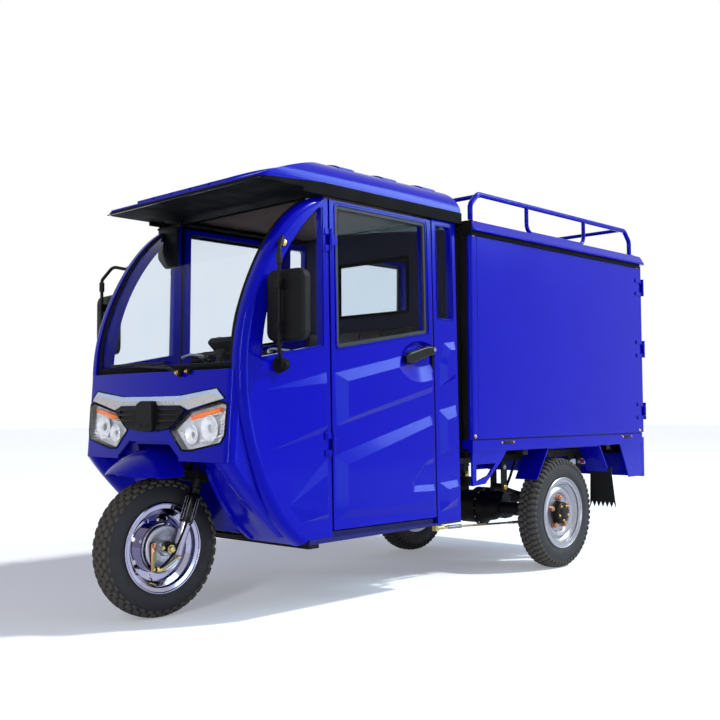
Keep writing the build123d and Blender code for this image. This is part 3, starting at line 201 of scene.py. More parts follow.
# Tempered flat glass: clear with a cool cast, too thin to bend what stands behind it.
glass = finish("tempered_glass", "EEF3F8", "E8EFF6", (0.0, 0.0), 300, clear=1.0, ior=1.08)
# Clear polycarbonate beads: small bright lenses in front of the bulbs.
lens = finish("clear_polycarbonate", "FAFBFC", "F4F6F8", (0.02, 0.04), 60, clear=1.0, ior=1.3, specular=0.3)
# Moulded clear lamp cover: the inside shows unbent under a thin gloss.
clear_cover = finish("moulded_clear_cover", "FBFCFD", "F6F8FA", (0.0, 0.01), 60, clear=1.0, ior=1.01, coat=0.25,
                     coat_rough=0.03)
# Silvered glass: a clean mirror, slightly grey.
mirror_glass = finish("silvered_mirror_glass", "D8DDE0", "D2D8DC", (0.01, 0.02), 90, None, 0.0, 1.0)
# Reflective sun film on the cab's rear window: a pale mirror.
film = finish("reflective_sun_film", "E9F0F4", "E4ECF1", (0.02, 0.04), 200, None, 0.0, 1.0)
# Stoved enamel of the plate and the dial's marks: plain off-white.
plate_white = finish("plain_plate_enamel", "C9CCD0", "D4D6DA", (0.35, 0.45), 40, (3, 0.02), 0.0008)
# A dab of marking paint on the brake arm: dull green.
olive_mark = finish("green_paint_dab", "6F8A4A", "7F9655", (0.4, 0.5), 12, (3, 0.03))

by_slot = {"blue_paint": enamel, "black_paint": chassis_black, "black_plastic": abs_black,
           "grey_plastic": abs_grey, "trim_plastic": trim_ground_painted, "lamp_glass": lens, "red_plastic": red_lens,
           "clear_glass": glass, "black_rubber": seal_rubber, "tyre_rubber": wall_rubber,
           "bright_steel": chrome, "seat_cover": vinyl}
# The box's front wall takes chassis black as painted shade in the gap behind the cab; the cab's floor and rear wall
# take darkened blues as painted shade.
by_node = {"cab_rear_wall": rear_wall_painted_shade, "cab_floor": enamel_painted_shade, "cargo_front_wall": chassis_black,
           "roof_lining": visor_black, "rear_rim_left": silver_paint, "rear_rim_right": silver_paint,
           "mud_flaps": flap_rubber, "brake_rods": zinc_gold, "door_handle_left": abs_gloss,
           "door_handle_right": abs_gloss}
for name, node in nodes.items():
    for holder in node.material_slots:
        holder.material = by_node.get(name, by_slot[slot_of[name]])

# ---------------------------------------------------------------- placing and shaping


def move(x, y, z):
    """A matrix that moves."""
    return Matrix.Translation((x, y, z))


def turn(degrees, axis):
    """A matrix that turns about an axis of its frame."""
    return Matrix.Rotation(radians(degrees), 4, axis)


MM = Matrix.Scale(0.001, 4)
flat = Matrix.Identity(4)
flip_x = Matrix.Scale(-1, 4, (1, 0, 0))
upright = turn(90, "X")
lean = radians(0.9)  # of the cab's sides
rake = 20  # of the steering axis, in degrees
axis_back, axis_foot = 0.042, 0.261  # its foot behind the front axle and above the ground, in metres
front_at = Matrix.Translation(front_axle) @ MM
rear_at = Matrix.Translation(rear_axle) @ MM
cab_at = move(0, front_axle.y, 0) @ MM
steer_at = move(0, front_axle.y + axis_back, axis_foot) @ turn(-rake, "X") @ MM
side_at = move(0.5, front_axle.y, 0.3) @ Matrix((
    (0, -sin(lean), cos(lean), 0), (1, 0, 0, 0), (0, cos(lean), sin(lean), 0), (0, 0, 0, 1))) @ MM


def merged(shapes):
    """One bmesh from a few, each alone or in a pair behind the index of its finish."""
    if isinstance(shapes, bmesh.types.BMesh):
        return shapes
    whole = bmesh.new()
    store = bpy.data.meshes.new("part")
    for shape in shapes:
        if isinstance(shape, tuple):
            index, shape = shape
            for face in shape.faces:
                face.material_index = index
        shape.to_mesh(store)
        shape.free()
        whole.from_mesh(store)
    bpy.data.meshes.remove(store)
    return whole


def shift(bm, matrix):
    """Move a bmesh by a matrix, with its faces kept outwards where the matrix mirrors."""
    bmesh.ops.transform(bm, matrix=matrix, verts=bm.verts)
    if matrix.determinant() < 0:
        bmesh.ops.reverse_faces(bm, faces=bm.faces)
    return bm


def place(shapes, name, finishes, body, slot, stands_for=(), bevel=0.0, sharp=35, flip=False):
    """Turn finished shapes, in metres, into a piece that rides on a body."""
    bm = merged(shapes)
    if flip:
        shift(bm, flip_x)
    for face in bm.faces:
        face.smooth = True
    for edge in bm.edges:
        edge.smooth = not (edge.is_manifold and edge.calc_face_angle(0) > radians(sharp))
    mesh = bpy.data.meshes.new(name)
    bm.to_mesh(mesh)
    bm.free()
    for one in finishes if isinstance(finishes, list) else [finishes]:
        mesh.materials.append(one)
    piece = bpy.data.objects.new(name, mesh)
    bpy.context.scene.collection.objects.link(piece)
    if bevel:
        rounding = piece.modifiers.new("rounding", "BEVEL")
        rounding.width = bevel / 1000
        rounding.segments = 2
        rounding.limit_method = "ANGLE"
        rounding.angle_limit = radians(sharp)
        rounding.harden_normals = True
    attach(piece, body)
    if stands_for:
        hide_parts(*stands_for)
    return piece


def twins(build, name, finishes, body, slot, bodies=False, **more):
    """Place a left piece and its right twin, each on its own side's body where bodies is set."""
    for side in ("left", "right"):
        on = f"{body}_{side}" if bodies else body
        place(build(), f"{name}_{side}", finishes, on, slot, flip=side == "right", **more)


def rounded(bm, edges, width):
    """Round some edges of a bmesh."""
    bmesh.ops.bevel(bm, geom=edges, offset=width, segments=2, profile=0.5, affect="EDGES", material=-1)


def brick(x0, x1, y0, y1, z0, z1, at=MM, round_mm=0.0):
    """A block between two corners in a frame's millimetres, with rounded edges."""
    bm = bmesh.new()
    bmesh.ops.create_cube(bm, size=1.0, matrix=move((x0 + x1) / 2, (y0 + y1) / 2, (z0 + z1) / 2)
                          @ Matrix.Diagonal((abs(x1 - x0), abs(y1 - y0), abs(z1 - z0), 1)))
    if round_mm:
        rounded(bm, bm.edges, round_mm)
    return shift(bm, at)


def bar(start, end, radius, at=MM, sides=20, round_mm=0.0):
    """A round or many-sided bar between two points in a frame's millimetres."""
    start, end = Vector(start), Vector(end)
    run = end - start
    bm = bmesh.new()
    bmesh.ops.create_cone(bm, cap_ends=True, segments=sides, radius1=radius, radius2=radius, depth=run.length)
    if round_mm:
        rounded(bm, [e for e in bm.edges if e.calc_face_angle(0) > 1.2], round_mm)
    aim = run.to_track_quat("Z", "Y").to_matrix().to_4x4()
    return shift(bm, at @ Matrix.Translation((start + end) / 2) @ aim)


def turned(profile, at, steps=64, closed=False):
    """Spin a profile of (along, radius) points about a frame's X axis."""
    bm = bmesh.new()
    points = [bm.verts.new((along, 0, radius)) for along, radius in profile]
    rim = [bm.edges.new(pair) for pair in zip(points, points[1:])]
    if closed:
        rim.append(bm.edges.new((points[-1], points[0])))
    bmesh.ops.spin(bm, geom=points + rim, axis=(1, 0, 0), cent=(0, 0, 0), angle=2 * pi, steps=steps, use_merge=True)
    bmesh.ops.remove_doubles(bm, verts=bm.verts, dist=0.01)
    bmesh.ops.recalc_face_normals(bm, faces=bm.faces)
    return shift(bm, at)


def sheet(outline, low, corner, segments):
    """A flat face from an outline of (x, y) at a height, with round corners."""
    bm = bmesh.new()
    bm.faces.new([bm.verts.new((x, y, low)) for x, y in outline])
    if corner:
        bmesh.ops.bevel(bm, geom=bm.verts, offset=corner, segments=segments, profile=0.5, affect="VERTICES",
                        material=-1)
    return bm


def raised(bm, height):
    """Thicken the faces of a flat bmesh along Z."""
    made = bmesh.ops.extrude_face_region(bm, geom=bm.faces)
    bmesh.ops.translate(bm, verts=[v for v in made["geom"] if isinstance(v, bmesh.types.BMVert)], vec=(0, 0, height))
    bmesh.ops.recalc_face_normals(bm, faces=bm.faces)


def plate(outline, low, high, at=flat, corner=0.0, round_mm=0.0):
    """A plate from an outline of a frame's (x, y), between two heights of its z."""
    bm = sheet(outline, low, corner, 4)
    raised(bm, high - low)
    if round_mm:
        rounded(bm, [e for e in bm.edges if e.calc_face_angle(0) > 0.6 and min(v.co.z for v in e.verts) > high - 0.01],
                round_mm)
    return shift(bm, at)


def ring(outline, low, high, wide, at=flat, corner=0.0, start=0.0):
    """A flat ring inside an outline, from start mm to start + wide mm in, between two heights."""
    bm = sheet(outline, low, corner, 5)
    if start:
        cut = bmesh.ops.inset_region(bm, faces=bm.faces, thickness=start, use_even_offset=True, use_boundary=True)
        bmesh.ops.delete(bm, geom=cut["faces"], context="FACES")
    inner = list(bm.faces)
    bmesh.ops.inset_region(bm, faces=inner, thickness=wide, use_even_offset=True, use_boundary=True)
    bmesh.ops.delete(bm, geom=inner, context="FACES")
    raised(bm, high - low)
    return shift(bm, at)


def screw_head(point, along, radius, depth, at=MM):
    """A hexagon bolt head with its washer, standing out from a point."""
    point, along = Vector(point), Vector(along).normalized()
    return merged((bar(point, point + along * depth * 0.3, radius * 1.35, at),
                   bar(point, point + along * depth, radius, at, 6, radius * 0.12)))


def bolt_circle(count, radius, start=0.0):
    """Sideways and upward offsets of bolts on a circle, the first one start degrees past the top."""
    for i in range(count):
        angle = radians(start + 360 / count * i)
        yield radius * sin(angle), radius * cos(angle)


def tube(points, radius, at=MM):
    """A round tube along a bent route."""
    curve = bpy.data.curves.new("route", "CURVE")
    curve.dimensions = "3D"
    line = curve.splines.new("NURBS")
    line.points.add(len(points) - 1)
    for spot, point in zip(line.points, points):
        spot.co = (*point, 1)
    line.order_u = 3
    line.use_endpoint_u = True
    line.resolution_u = 8
    curve.bevel_depth = radius
    curve.bevel_resolution = 3
    curve.use_fill_caps = True
    holder = bpy.data.objects.new("route", curve)
    bm = bmesh.new()
    store = bpy.data.meshes.new_from_object(holder)
    bm.from_mesh(store)
    bpy.data.objects.remove(holder)
    bpy.data.meshes.remove(store)
    bmesh.ops.remove_doubles(bm, verts=bm.verts, dist=0.01)
    return shift(bm, at)


def skin(node, dissolve=0.4, unwanted=None):
    """A merged copy of a node's mesh without its unwanted faces."""
    bm = bmesh.new()
    bm.from_mesh(nodes[node].data)
    bmesh.ops.remove_doubles(bm, verts=bm.verts, dist=2e-5)
    bmesh.ops.dissolve_limit(bm, angle_limit=radians(dissolve), verts=bm.verts, edges=bm.edges)
    if unwanted:
        bmesh.ops.delete(bm, geom=[f for f in bm.faces if unwanted(f)], context="FACES")
    return bm


# ---------------------------------------------------------------- tyres and wheels
def tread_row(count, offset, middle, across, along, radius, rise, tilt, skew):
    """A ring of rounded rubber blocks; across, along and rise are a block's sizes."""
    bm = bmesh.new()
    bmesh.ops.create_cube(bm, size=1.0, matrix=Matrix.Diagonal((across, along, rise, 1)))
    bmesh.ops.bevel(bm, geom=[e for e in bm.edges if max(v.co.z for v in e.verts) > 0], segments=1,
                    offset=min(across, along) * 0.2, profile=0.5, affect="EDGES", material=-1)
    bmesh.ops.delete(bm, geom=[f for f in bm.faces if f.normal.z < -0.9], context="FACES")
    shift(bm, move(middle, 0, radius) @ Matrix.Rotation(tilt, 4, "Y") @ Matrix.Rotation(skew, 4, "Z"))
    shift(bm, Matrix.Rotation(offset * 2 * pi / count, 4, "X"))
    block = bm.verts[:] + bm.edges[:] + bm.faces[:]
    bmesh.ops.spin(bm, geom=block, axis=(1, 0, 0), cent=(0, 0, 0), angle=2 * pi * (count - 1) / count,
                   steps=count - 1, use_duplicate=True)
    return bm


def tyre(name, body, node, at, half, rows):
    """A carcass with its rows of blocks; a row off the middle has a twin on the other shoulder."""
    shapes = [turned(half + [(-x, r) for x, r in reversed(half[:-1])], flat, 96, closed=True)]
    for count, offset, middle, across, along, radius, rise, tilt, skew in rows:
        for side in (1, -1) if middle else (1,):
            shapes.append((1, tread_row(count, offset, side * middle, across, along, radius, rise, side * tilt, skew)))
    place(shift(merged(shapes), at), name, [wall_rubber, tread_dust_and_sheen], body, "tyre_rubber", (node,), sharp=50)


half_front = [(39, 153), (40, 163), (42, 170), (44.5, 173), (45, 180), (46.4, 184), (47.5, 197), (47.5, 207),
              (46, 216), (45.5, 222), (43.5, 228), (39, 240), (34, 247), (20, 252.5), (0, 255)]
tyre("front_tyre_rubber", "front_wheel", "front_tyre", front_at, half_front, [
    (40, 0.0, 0, 17, 30, 257, 8, 0, 0), (40, 0.5, 17.5, 15, 31, 255.5, 9, 0.13, 0),
    (40, 0.0, 33.5, 14, 29, 250, 10, 0.5, 0), (40, 0.5, 42.5, 12, 22, 238, 7, 1.05, 0)])
half_rear = [(39, 153), (40, 163), (42, 170), (45.5, 174), (46, 182), (48.5, 187), (50, 200), (50, 212),
             (49, 222), (48, 232), (45, 244), (37, 253), (20, 258), (0, 260)]
for side, word in ((1, "left"), (-1, "right")):
    tyre(f"rear_tyre_rubber_{word}", f"rear_wheel_{word}", f"rear_tyre_{word}",
         move(side * rear_axle.x, rear_axle.y, rear_axle.z) @ MM, half_rear, [
             (56, 0.0, 0, 15, 21, 262.5, 8, 0, 0), (56, 0.5, 27, 34, 19.5, 258.8, 10, 0.26, 0.14),
             (56, 0.5, 46.6, 20, 17, 245, 8, 1.1, 0)])

# Rolled rim edge of the front wheel, its valve and its drum
lip = [(38, 150), (40, 153), (41, 164), (44, 169.5), (48, 170.5), (50.5, 167), (49, 163.5), (45, 163), (44, 156),
       (43, 148)]
place([turned(lip, front_at, 96, True), turned(lip, front_at @ flip_x, 96, True)], "front_rim_edges", chrome,
      "front_wheel", "bright_steel", sharp=60)
place([bar((30, 0, -136), (46, 0, -122), 4, front_at), bar((44, 0, -124), (56, 0, -114), 2.8, front_at)],
      "front_valve", brass, "front_wheel", "bright_steel")
hub_rings = [(38.5, 40), (41, 42), (41, 60), (39, 62), (39, 86), (41.5, 88), (42, 93), (39, 95.5), (34, 96)]
place(turned(hub_rings, front_at, 72), "front_drum_rings", chrome, "front_wheel", "bright_steel")


def wheel_nuts():
    """Copper wheel nuts, washers and stud ends on the left rear wheel."""
    for y, z in bolt_circle(5, 71):
        yield bar((15.5, y, z), (17.5, y, z), 14.5, rear_at, 24)
        yield bar((17.5, y, z), (36, y, z), 12.8, rear_at, 6, 1.6)
        yield bar((36, y, z), (39, y, z), 6, rear_at, 12)


def hub_nose():
    """Black hub nose with a stepped edge and small brass screws."""
    yield turned([(15.2, 58), (20, 56), (22, 53.5), (43.5, 52.8), (48, 50.5), (51, 45), (51, 30), (56, 27),
                  (58, 22), (58, 0)], rear_at, 48)
    for y, z in bolt_circle(5, 38, 36):
        yield 1, screw_head((50.5, y, z), (1, 0, 0), 5, 5, rear_at)


def wheel_edges():
    """Rolled outer lip and a pressed step on the left rear wheel."""
    yield turned([(38, 150), (40, 154), (41, 164), (43.5, 170.5), (48, 172), (50.5, 169), (49, 165),
                  (45, 163), (44, 155), (43, 148)], rear_at, 96, True)
    yield turned([(37, 147), (36, 141), (31, 138), (26, 133), (23, 129), (20, 126)], rear_at, 96)


twins(wheel_nuts, "wheel_nuts", copper_zinc, "rear_wheel", "bright_steel", True)
twins(hub_nose, "hub_nose", [chassis_black, brass], "rear_wheel", "black_paint", True)
twins(wheel_edges, "wheel_edges", silver_paint, "rear_wheel", "bright_steel", True)


# ---------------------------------------------------------------- nose, lamps and trim
def on_nose(x, z, out):
    """A point over the bowed and leaning nose, in the cab's millimetres."""
    past = max(0.0, abs(x) - 432) / 36
    bow = 16 * min(1.0, abs(x) / 432) ** 2 + 21 * past ** 2
    return Vector((x, -35 + bow + (z - 780) * tan(radians(4)) - out, z))


def draped(bm):
    """Lay a shape drawn flat as (x, z, height) over the nose."""
    for vert in bm.verts:
        vert.co = on_nose(*vert.co)
    bmesh.ops.recalc_face_normals(bm, faces=bm.faces)
    return shift(bm, cab_at)


def grown(outline, by):
    """An outline scaled about its middle so that it gains a margin on each side."""
    xs, ys = zip(*outline)
    cx, cy = (min(xs) + max(xs)) / 2, (min(ys) + max(ys)) / 2
    kx, ky = 1 + 2 * by / (max(xs) - min(xs)), 1 + 2 * by / (max(ys) - min(ys))
    return [(cx + (x - cx) * kx, cy + (y - cy) * ky) for x, y in outline]


def block(wide, high):
    """Corners of an upright oblong about the middle of a frame."""
    return [(x * wide / 2, y * high / 2) for x, y in ((-1, -1), (1, -1), (1, 1), (-1, 1))]


lamp_outline = [(141, 703), (213, 634), (262, 633), (418, 662), (438, 690), (442, 796), (409, 805), (235, 771)]


def lamp_dish(x, z, radius, deep):
    """A bright bowl with a ribbed rim, facing forwards."""
    profile = [(-deep, radius * 0.28), (-deep * 0.8, radius * 0.55), (-deep * 0.4, radius * 0.84), (0, radius),
               (1.5, radius * 1.06), (0, radius * 1.14)]
    return turned(profile, cab_at @ move(*on_nose(x, z, -11)) @ turn(-90, "Z"), 36)


def lamp_bulb(x, z, radius):
    """A glass bead in front of a bowl."""
    bm = bmesh.new()
    bmesh.ops.create_uvsphere(bm, u_segments=20, v_segments=12, radius=radius)
    return shift(bm, cab_at @ move(*on_nose(x, z, -18)) @ Matrix.Diagonal((1, 0.7, 1, 1)))


def lamp_inside():
    """Reflector floor, wall, bezel, two bowls, ribs, step and frame bar of the left lamp."""
    yield 1, draped(plate(grown(lamp_outline, -3), -32, -28))
    yield 1, draped(ring(grown(lamp_outline, -1), -32, -1, 4))
    yield 1, draped(ring(grown(lamp_outline, -3), -10, -1.5, 11))
    yield 1, draped(plate([(252, 742), (398, 771), (398, 764), (252, 735)], -36, -12, round_mm=1))
    yield 1, draped(plate([(290, 668), (296, 660), (420, 686), (420, 694)], -36, -14, round_mm=1))
    yield 0, lamp_dish(345, 712, 43, 14)
    yield 0, lamp_dish(250, 688, 32, 12)
    for i in range(9):
        yield 0, draped(brick(392, 426, 652 + i * 11, 657 + i * 11, -34, -16, flat))
        if i < 4:
            yield 0, draped(brick(196 - i * 9, 214 - i * 9, 664 + i * 11, 668 + i * 11, -34, -20, flat))


twins(lamp_inside, "lamp_reflector", [lamp_silver, lamp_white], "chassis", "bright_steel", sharp=40)
twins(lambda: [lamp_bulb(345, 712, 17), lamp_bulb(250, 688, 12)], "lamp_bulb", lens, "chassis", "lamp_glass")
twins(lambda: draped(plate([(243, 757), (405, 786), (402, 770), (252, 740)], -20, -5, flat, 3, 2.5)),
      "turn_signal_strip", amber, "chassis", "lamp_glass")
twins(lambda: draped(ring(grown(lamp_outline, 6), -12, 2.5, 6.5, flat, 7)), "lamp_gasket", seal_rubber, "chassis",
      "black_rubber")
# Thin clear covers cut from the front faces of the lamps
cover = place(skin("headlamps", 0.02, lambda f: f.normal.y > -0.4), "lamp_cover", clear_cover, "chassis",
              "lamp_glass", ("headlamps",), sharp=9)
cover.modifiers.new("wall", "SOLIDIFY").thickness = 0.0025


def garnish_facet(rows):
    """One facet of the kinked strip, bridged between two rows of (x, z, height) points."""
    bm = bmesh.new()
    edges = []
    for row in rows:
        verts = [bm.verts.new(point) for point in row]
        edges += [bm.edges.new(pair) for pair in zip(verts, verts[1:])]
    bmesh.ops.bridge_loops(bm, edges=edges)
    raised(bm, -5)
    return bm


def garnish():
    """The bright strip over the lamps: a sky-blue upper facet and a champagne lower one, painted reflections of sky
    and ground.
    """
    top = [(54, 829, 2), (190, 830, 2), (290, 842, 2), (386, 853, 2), (426, 819, 2)]
    ridge = [(54, 812, 12), (192, 812, 12), (290, 827, 12), (376, 837, 10), (422, 818, 3)]
    foot = [(54, 795, 4), (193, 795, 4), (238, 779, 4), (330, 799, 4), (424, 817, 2)]
    for side in (1, -1):
        rows = [[(side * x, z, h) for x, z, h in row] for row in (top, ridge, foot)]
        yield 0, garnish_facet(rows[:2])
        yield 1, garnish_facet(rows[1:])
    yield 0, garnish_facet([[(-54, *row[0][1:]), (54, *row[0][1:])] for row in (top, ridge)])


place(draped(merged(garnish())), "nose_garnish", [trim_sky_painted, trim_ground_painted], "chassis", "trim_plastic",
      ("lamp_garnish",), 0.8)
outline = [(-192, 833), (-388, 858), (-437, 818), (-240, 771), (240, 771), (437, 818), (388, 858), (192, 833)]
place(draped(plate(outline, -1, 1.6, flat, 3)), "garnish_gasket", seal_rubber, "chassis", "black_rubber")
# The plain block in the middle of the grille with upright grooves, and the lips beside it
outline = [(-51, 702), (51, 702), (51, 806), (36, 813), (-36, 813), (-51, 806)]
place([draped(plate(outline, 4, 21, flat, 4, 3)),
       *[draped(brick(x, x + 3, 712, 800, 20, 23, flat, 0.6)) for x in (-30, -17, 14, 27)]],
      "grille_block", abs_black, "chassis", "black_plastic")
place([draped(brick(side * 62, side * 202, z, z + 3, 5, 13, flat, 0.8)) for side in (1, -1) for z in (737, 759, 778)],
      "grille_lips", abs_gloss, "chassis", "black_plastic")


# ---------------------------------------------------------------- glazing
def pane_outlines(node):
    """Outlines, on the side skin's frame, of the left outer faces of a glass node."""
    outward = Vector((cos(lean), 0, sin(lean)))
    bm = skin(node, 1.0, lambda f: f.normal.dot(outward) < 0.99 or f.calc_center_median().x < 0.3)
    bmesh.ops.dissolve_faces(bm, faces=bm.faces)
    local = side_at.inverted()
    outlines = [[(local @ v.co)[:2] for v in f.verts] for f in bm.faces]
    bm.free()
    return sorted(outlines, key=lambda points: min(x for x, y in points))


front_quarter, rear_quarter = pane_outlines("fixed_glass")
door_pane = pane_outlines("door_glass_left")[0]
for outline, name, body, deep, lip in ((front_quarter, "front_quarter", "chassis", 10, 7),
                                       (rear_quarter, "rear_quarter", "chassis", 10, 6),
                                       (door_pane, "door_window", "cab_door", 16, 8)):
    twins(lambda: ring(grown(outline, lip), -deep + 0.3, 3, lip + 7, side_at), f"{name}_rubber", seal_rubber, body,
          "black_rubber", body == "cab_door", bevel=1.5)
twins(lambda: ring(door_pane, -15.7, -3, 13, side_at, start=6), "door_window_frame", olive_frame, "cab_door",
      "black_plastic", True, bevel=0.8)
# The pale inner edge of the door window frame is a painted highlight.
twins(lambda: ring(door_pane, -15.7, -5, 3, side_at, start=19), "door_window_frame_edge", frame_edge_highlight, "cab_door",
      "bright_steel", True, bevel=0.5)


def screen_border():
    """Black printed border and rubber around the windscreen."""
    bm = skin("windscreen", 0.05, lambda f: f.normal.y > -0.25 or abs(f.normal.x) > 0.5)
    inner = list(bm.faces)
    bmesh.ops.inset_region(bm, faces=inner, thickness=0.024, use_even_offset=True, use_boundary=True)
    bmesh.ops.delete(bm, geom=inner, context="FACES")
    return bm


border = place(screen_border(), "windscreen_border", seal_rubber, "chassis", "black_rubber", sharp=40)
border.modifiers.new("rubber", "SOLIDIFY").thickness = -0.003
twins(lambda: brick(443.5, 450.5, 24, 1288, -34, -6, side_at), "front_door_seal", seal_rubber, "chassis",
      "black_rubber")
# The thin olive line inside the rear door seal is a painted highlight on the rubber.
twins(lambda: [(0, brick(1059.5, 1066.5, 24, 1288, -34, -5, side_at)),
               (1, brick(1062, 1064, 24, 1288, -5.5, -3, side_at))],
      "rear_door_seal", [seal_rubber, olive_frame], "chassis", "black_rubber")

# ---------------------------------------------------------------- roof and cab inside
place(brick(-428, 428, 472, 1183, 1621, 1627.5, cab_at, 2), "headliner", felt, "chassis", "seat_cover")
# The front bright line under the visor paints the highlight on its rounded front edge; the back one marks a seam.
place([brick(-478, 478, 91, 96, 1609.5, 1612.5, cab_at, 0.8), brick(-372, 60, 452, 456, 1606.6, 1608.4, cab_at, 0.5)],
      "visor_highlight_and_seam_lines", zinc, "chassis", "bright_steel")
place(brick(-494, 494, 84, 92, 1606, 1611, cab_at, 2), "visor_edge_bead", abs_gloss, "chassis", "black_plastic")


def sun_visor():
    """Black sun visor folded down in front of the passenger, with its hinge rod and stalks."""
    yield plate([(-325, 1392), (-325, 1572), (-462, 1572), (-462, 1440), (-410, 1392)], 0, 14,
                cab_at @ move(0, 336, 0) @ upright, 12, 3)
    yield bar((-470, 330, 1574), (-300, 330, 1574), 6, cab_at)
    for x in (-465, -310):
        yield bar((x, 330, 1574), (x, 352, 1606), 5, cab_at)


place(sun_visor(), "sun_visor", abs_black, "chassis", "black_plastic")
place(brick(-221, 221, 1208.6, 1209.6, 1223, 1468, cab_at), "rear_window_film", film, "chassis", "clear_glass")
place(ring([(-232, 1212), (232, 1212), (232, 1479), (-232, 1479)], 0, 5, 16,
           cab_at @ move(0, 1203, 0) @ upright, 18),
      "rear_window_rubber", seal_rubber, "chassis", "black_rubber")


def dash_top():
    """Padded grey shelf lid with two round vents and their slats."""
    yield brick(-400, 400, 78, 208, 946, 954, cab_at, 4)
    for x in (-300, 320):
        yield bar((x, 140, 953), (x, 140, 959), 34, cab_at, 32, 2)
        for slat in (-18, -6, 6, 18):
            yield brick(x + slat - 2, x + slat + 2, 116, 164, 958, 963, cab_at, 0.5)


place(dash_top(), "dash_lid", abs_grey, "chassis", "grey_plastic")


def instrument():
    """Instrument pod on the bar: hood, bezel, dark face, blank scale marks and a needle."""
    pod = steer_at @ move(0, 14, 838) @ turn(-22, "X")
    dial = pod @ move(-34, 0, 0)
    yield 0, brick(-82, 82, -42, 42, -26, 8, pod, 12)
    yield 1, bar((0, 0, 6), (0, 0, 13), 36, dial, 40, 2)
    yield 2, bar((0, 0, 13), (0, 0, 13.6), 31, dial, 40)
    yield 2, brick(12, 72, -24, 24, 8, 11, pod, 2)
    for i in range(13):
        yield 3, brick(-0.8, 0.8, 22, 26 if i % 3 else 29, 13.5, 14.2, dial @ turn(-135 + i * 22.5, "Z"))
    yield 4, brick(-1, 1, -5, 24, 14.2, 15.2, dial @ turn(118, "Z"))


place(instrument(), "instrument_pod", [abs_black, chrome, abs_gloss, plate_white, amber], "steering",
      "black_plastic")


def grips():
    """Ribbed rubber grips, switch pods, brake levers and their clamps at both bar ends."""
    for side in (1, -1):
        a = Vector((side * 236, 92, 818))
        b = Vector((side * 334, 110.5, 818))
        run = (b - a).normalized()
        for i in range(11):
            yield 0, bar(a + run * (i * 9.5), a + run * (i * 9.5 + 7.5), 16.5, steer_at, round_mm=1.2)
        yield 0, bar(a, b + run * 4, 15, steer_at)
        yield 0, bar(b, b + run * 7, 18.5, steer_at, round_mm=2)
        pod = steer_at @ move(*(a - run * 26))
        yield 1, brick(-22, 22, -20, 20, -20, 22, pod, 6)
        for k, x in enumerate((-10, 2, 13)):
            yield 0, brick(x - 4, x + 4, 12, 22, 18 + k % 2, 25, pod, 1.5)
        lever = [(-14, -34, -2), (18, -62, -4), (62, -52, -6), (108, -40, -8)]
        yield 2, tube([a + Vector((side * x, y, z)) for x, y, z in lever], 5.5, steer_at)
        yield 2, bar(a + Vector((-side * 22, -16, -6)), a + Vector((-side * 12, -42, -4)), 10, steer_at, 16, 2)


place(grips(), "grips_and_levers", [seal_rubber, abs_black, cast_alloy], "steering", "black_rubber")

pad_cap = 0.010
channel_width = 0.012
channel_depth = 0.007


def applied(pad, name, kind, **settings):
    """Give the pad a modifier and apply it."""
    modifier = pad.modifiers.new(name, kind)
    for setting, value in settings.items():
        setattr(modifier, setting, value)
    bpy.ops.object.modifier_apply(modifier=name)


def puffed(pad, held):
    """Blow the pad up as cloth around its held vertices, by no more than the cap."""
    pad.vertex_groups.new(name="base").add(held, 1.0, "REPLACE")
    cloth = pad.modifiers.new("cloth", "CLOTH")
    cloth.settings.use_pressure = True
    cloth.settings.uniform_pressure_force = 4.0
    cloth.settings.effector_weights.gravity = 0.0
    cloth.settings.vertex_group_mass = "base"
    cloth.point_cache.frame_start = 1
    cloth.point_cache.frame_end = 20
    rest = [v.co.copy() for v in pad.data.vertices]
    for step in range(1, 21):
        bpy.context.scene.frame_set(step)
    bpy.ops.object.modifier_apply(modifier="cloth")
    bpy.context.scene.frame_set(1)
    for vert, start in zip(pad.data.vertices, rest):
        way = vert.co - start
        if way.length > pad_cap:
            vert.co = start + way.normalized() * pad_cap


def padded_seat(node, across):
    """A padded copy of a seat solid: shrunk, remeshed, puffed as cloth, then sewn down along its channels.

    across is the axis, 1 or 2, along which the pad is thick; its channels are spaced along X.
    """
    bm = skin(node)
    bmesh.ops.smooth_vert(bm, verts=bm.verts, factor=0.2, use_axis_x=True, use_axis_y=True, use_axis_z=True)
    mesh = bpy.data.meshes.new(node + "_pad")
    bm.to_mesh(mesh)
    bm.free()
    pad = bpy.data.objects.new(node + "_pad", mesh)
    bpy.context.scene.collection.objects.link(pad)
    bpy.context.view_layer.objects.active = pad
    applied(pad, "remesh", "REMESH", mode="VOXEL", voxel_size=0.006)
    low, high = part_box(node)
    puffed(pad, [v.index for v in pad.data.vertices
                 if (v.co.z < low[2] + 0.02 if across == 2 else v.co.y > high[1] - 0.02)])
    applied(pad, "soften", "SUBSURF", levels=1, render_levels=1)
    facing = 1 if across == 2 else -1
    for vert in pad.data.vertices:
        for channel in (-0.277, -0.139, 0.0, 0.139, 0.277):
            near = abs(vert.co.x - channel) / channel_width
            if near < 1 and facing * vert.normal[across] > 0.5:
                vert.co += vert.normal * (-channel_depth * (1 - near * near) ** 2)
    pad.data.shade_smooth()
    pad.data.materials.clear()
    pad.data.materials.append(vinyl)
    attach(pad, "chassis")
    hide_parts(node)


padded_seat("seat_cushion", 2)
padded_seat("seat_back", 1)


def seat_piping():
    """Welted edge along the front and sides of the cushion."""
    low, high = corners("seat_cushion")
    x, y0, y1, z = high.x - 6, low.y + 6, high.y - 12, high.z - 12
    left = [(x, y1, z), (x, y0 + 60, z), (x, y0 + 12, z), (x - 12, y0, z), (x - 70, y0, z)]
    return tube(left + [(0, y0, z)] + [(-x, y, z) for x, y, z in reversed(left)], 4.5)


place(seat_piping(), "seat_piping", vinyl, "chassis", "seat_cover")

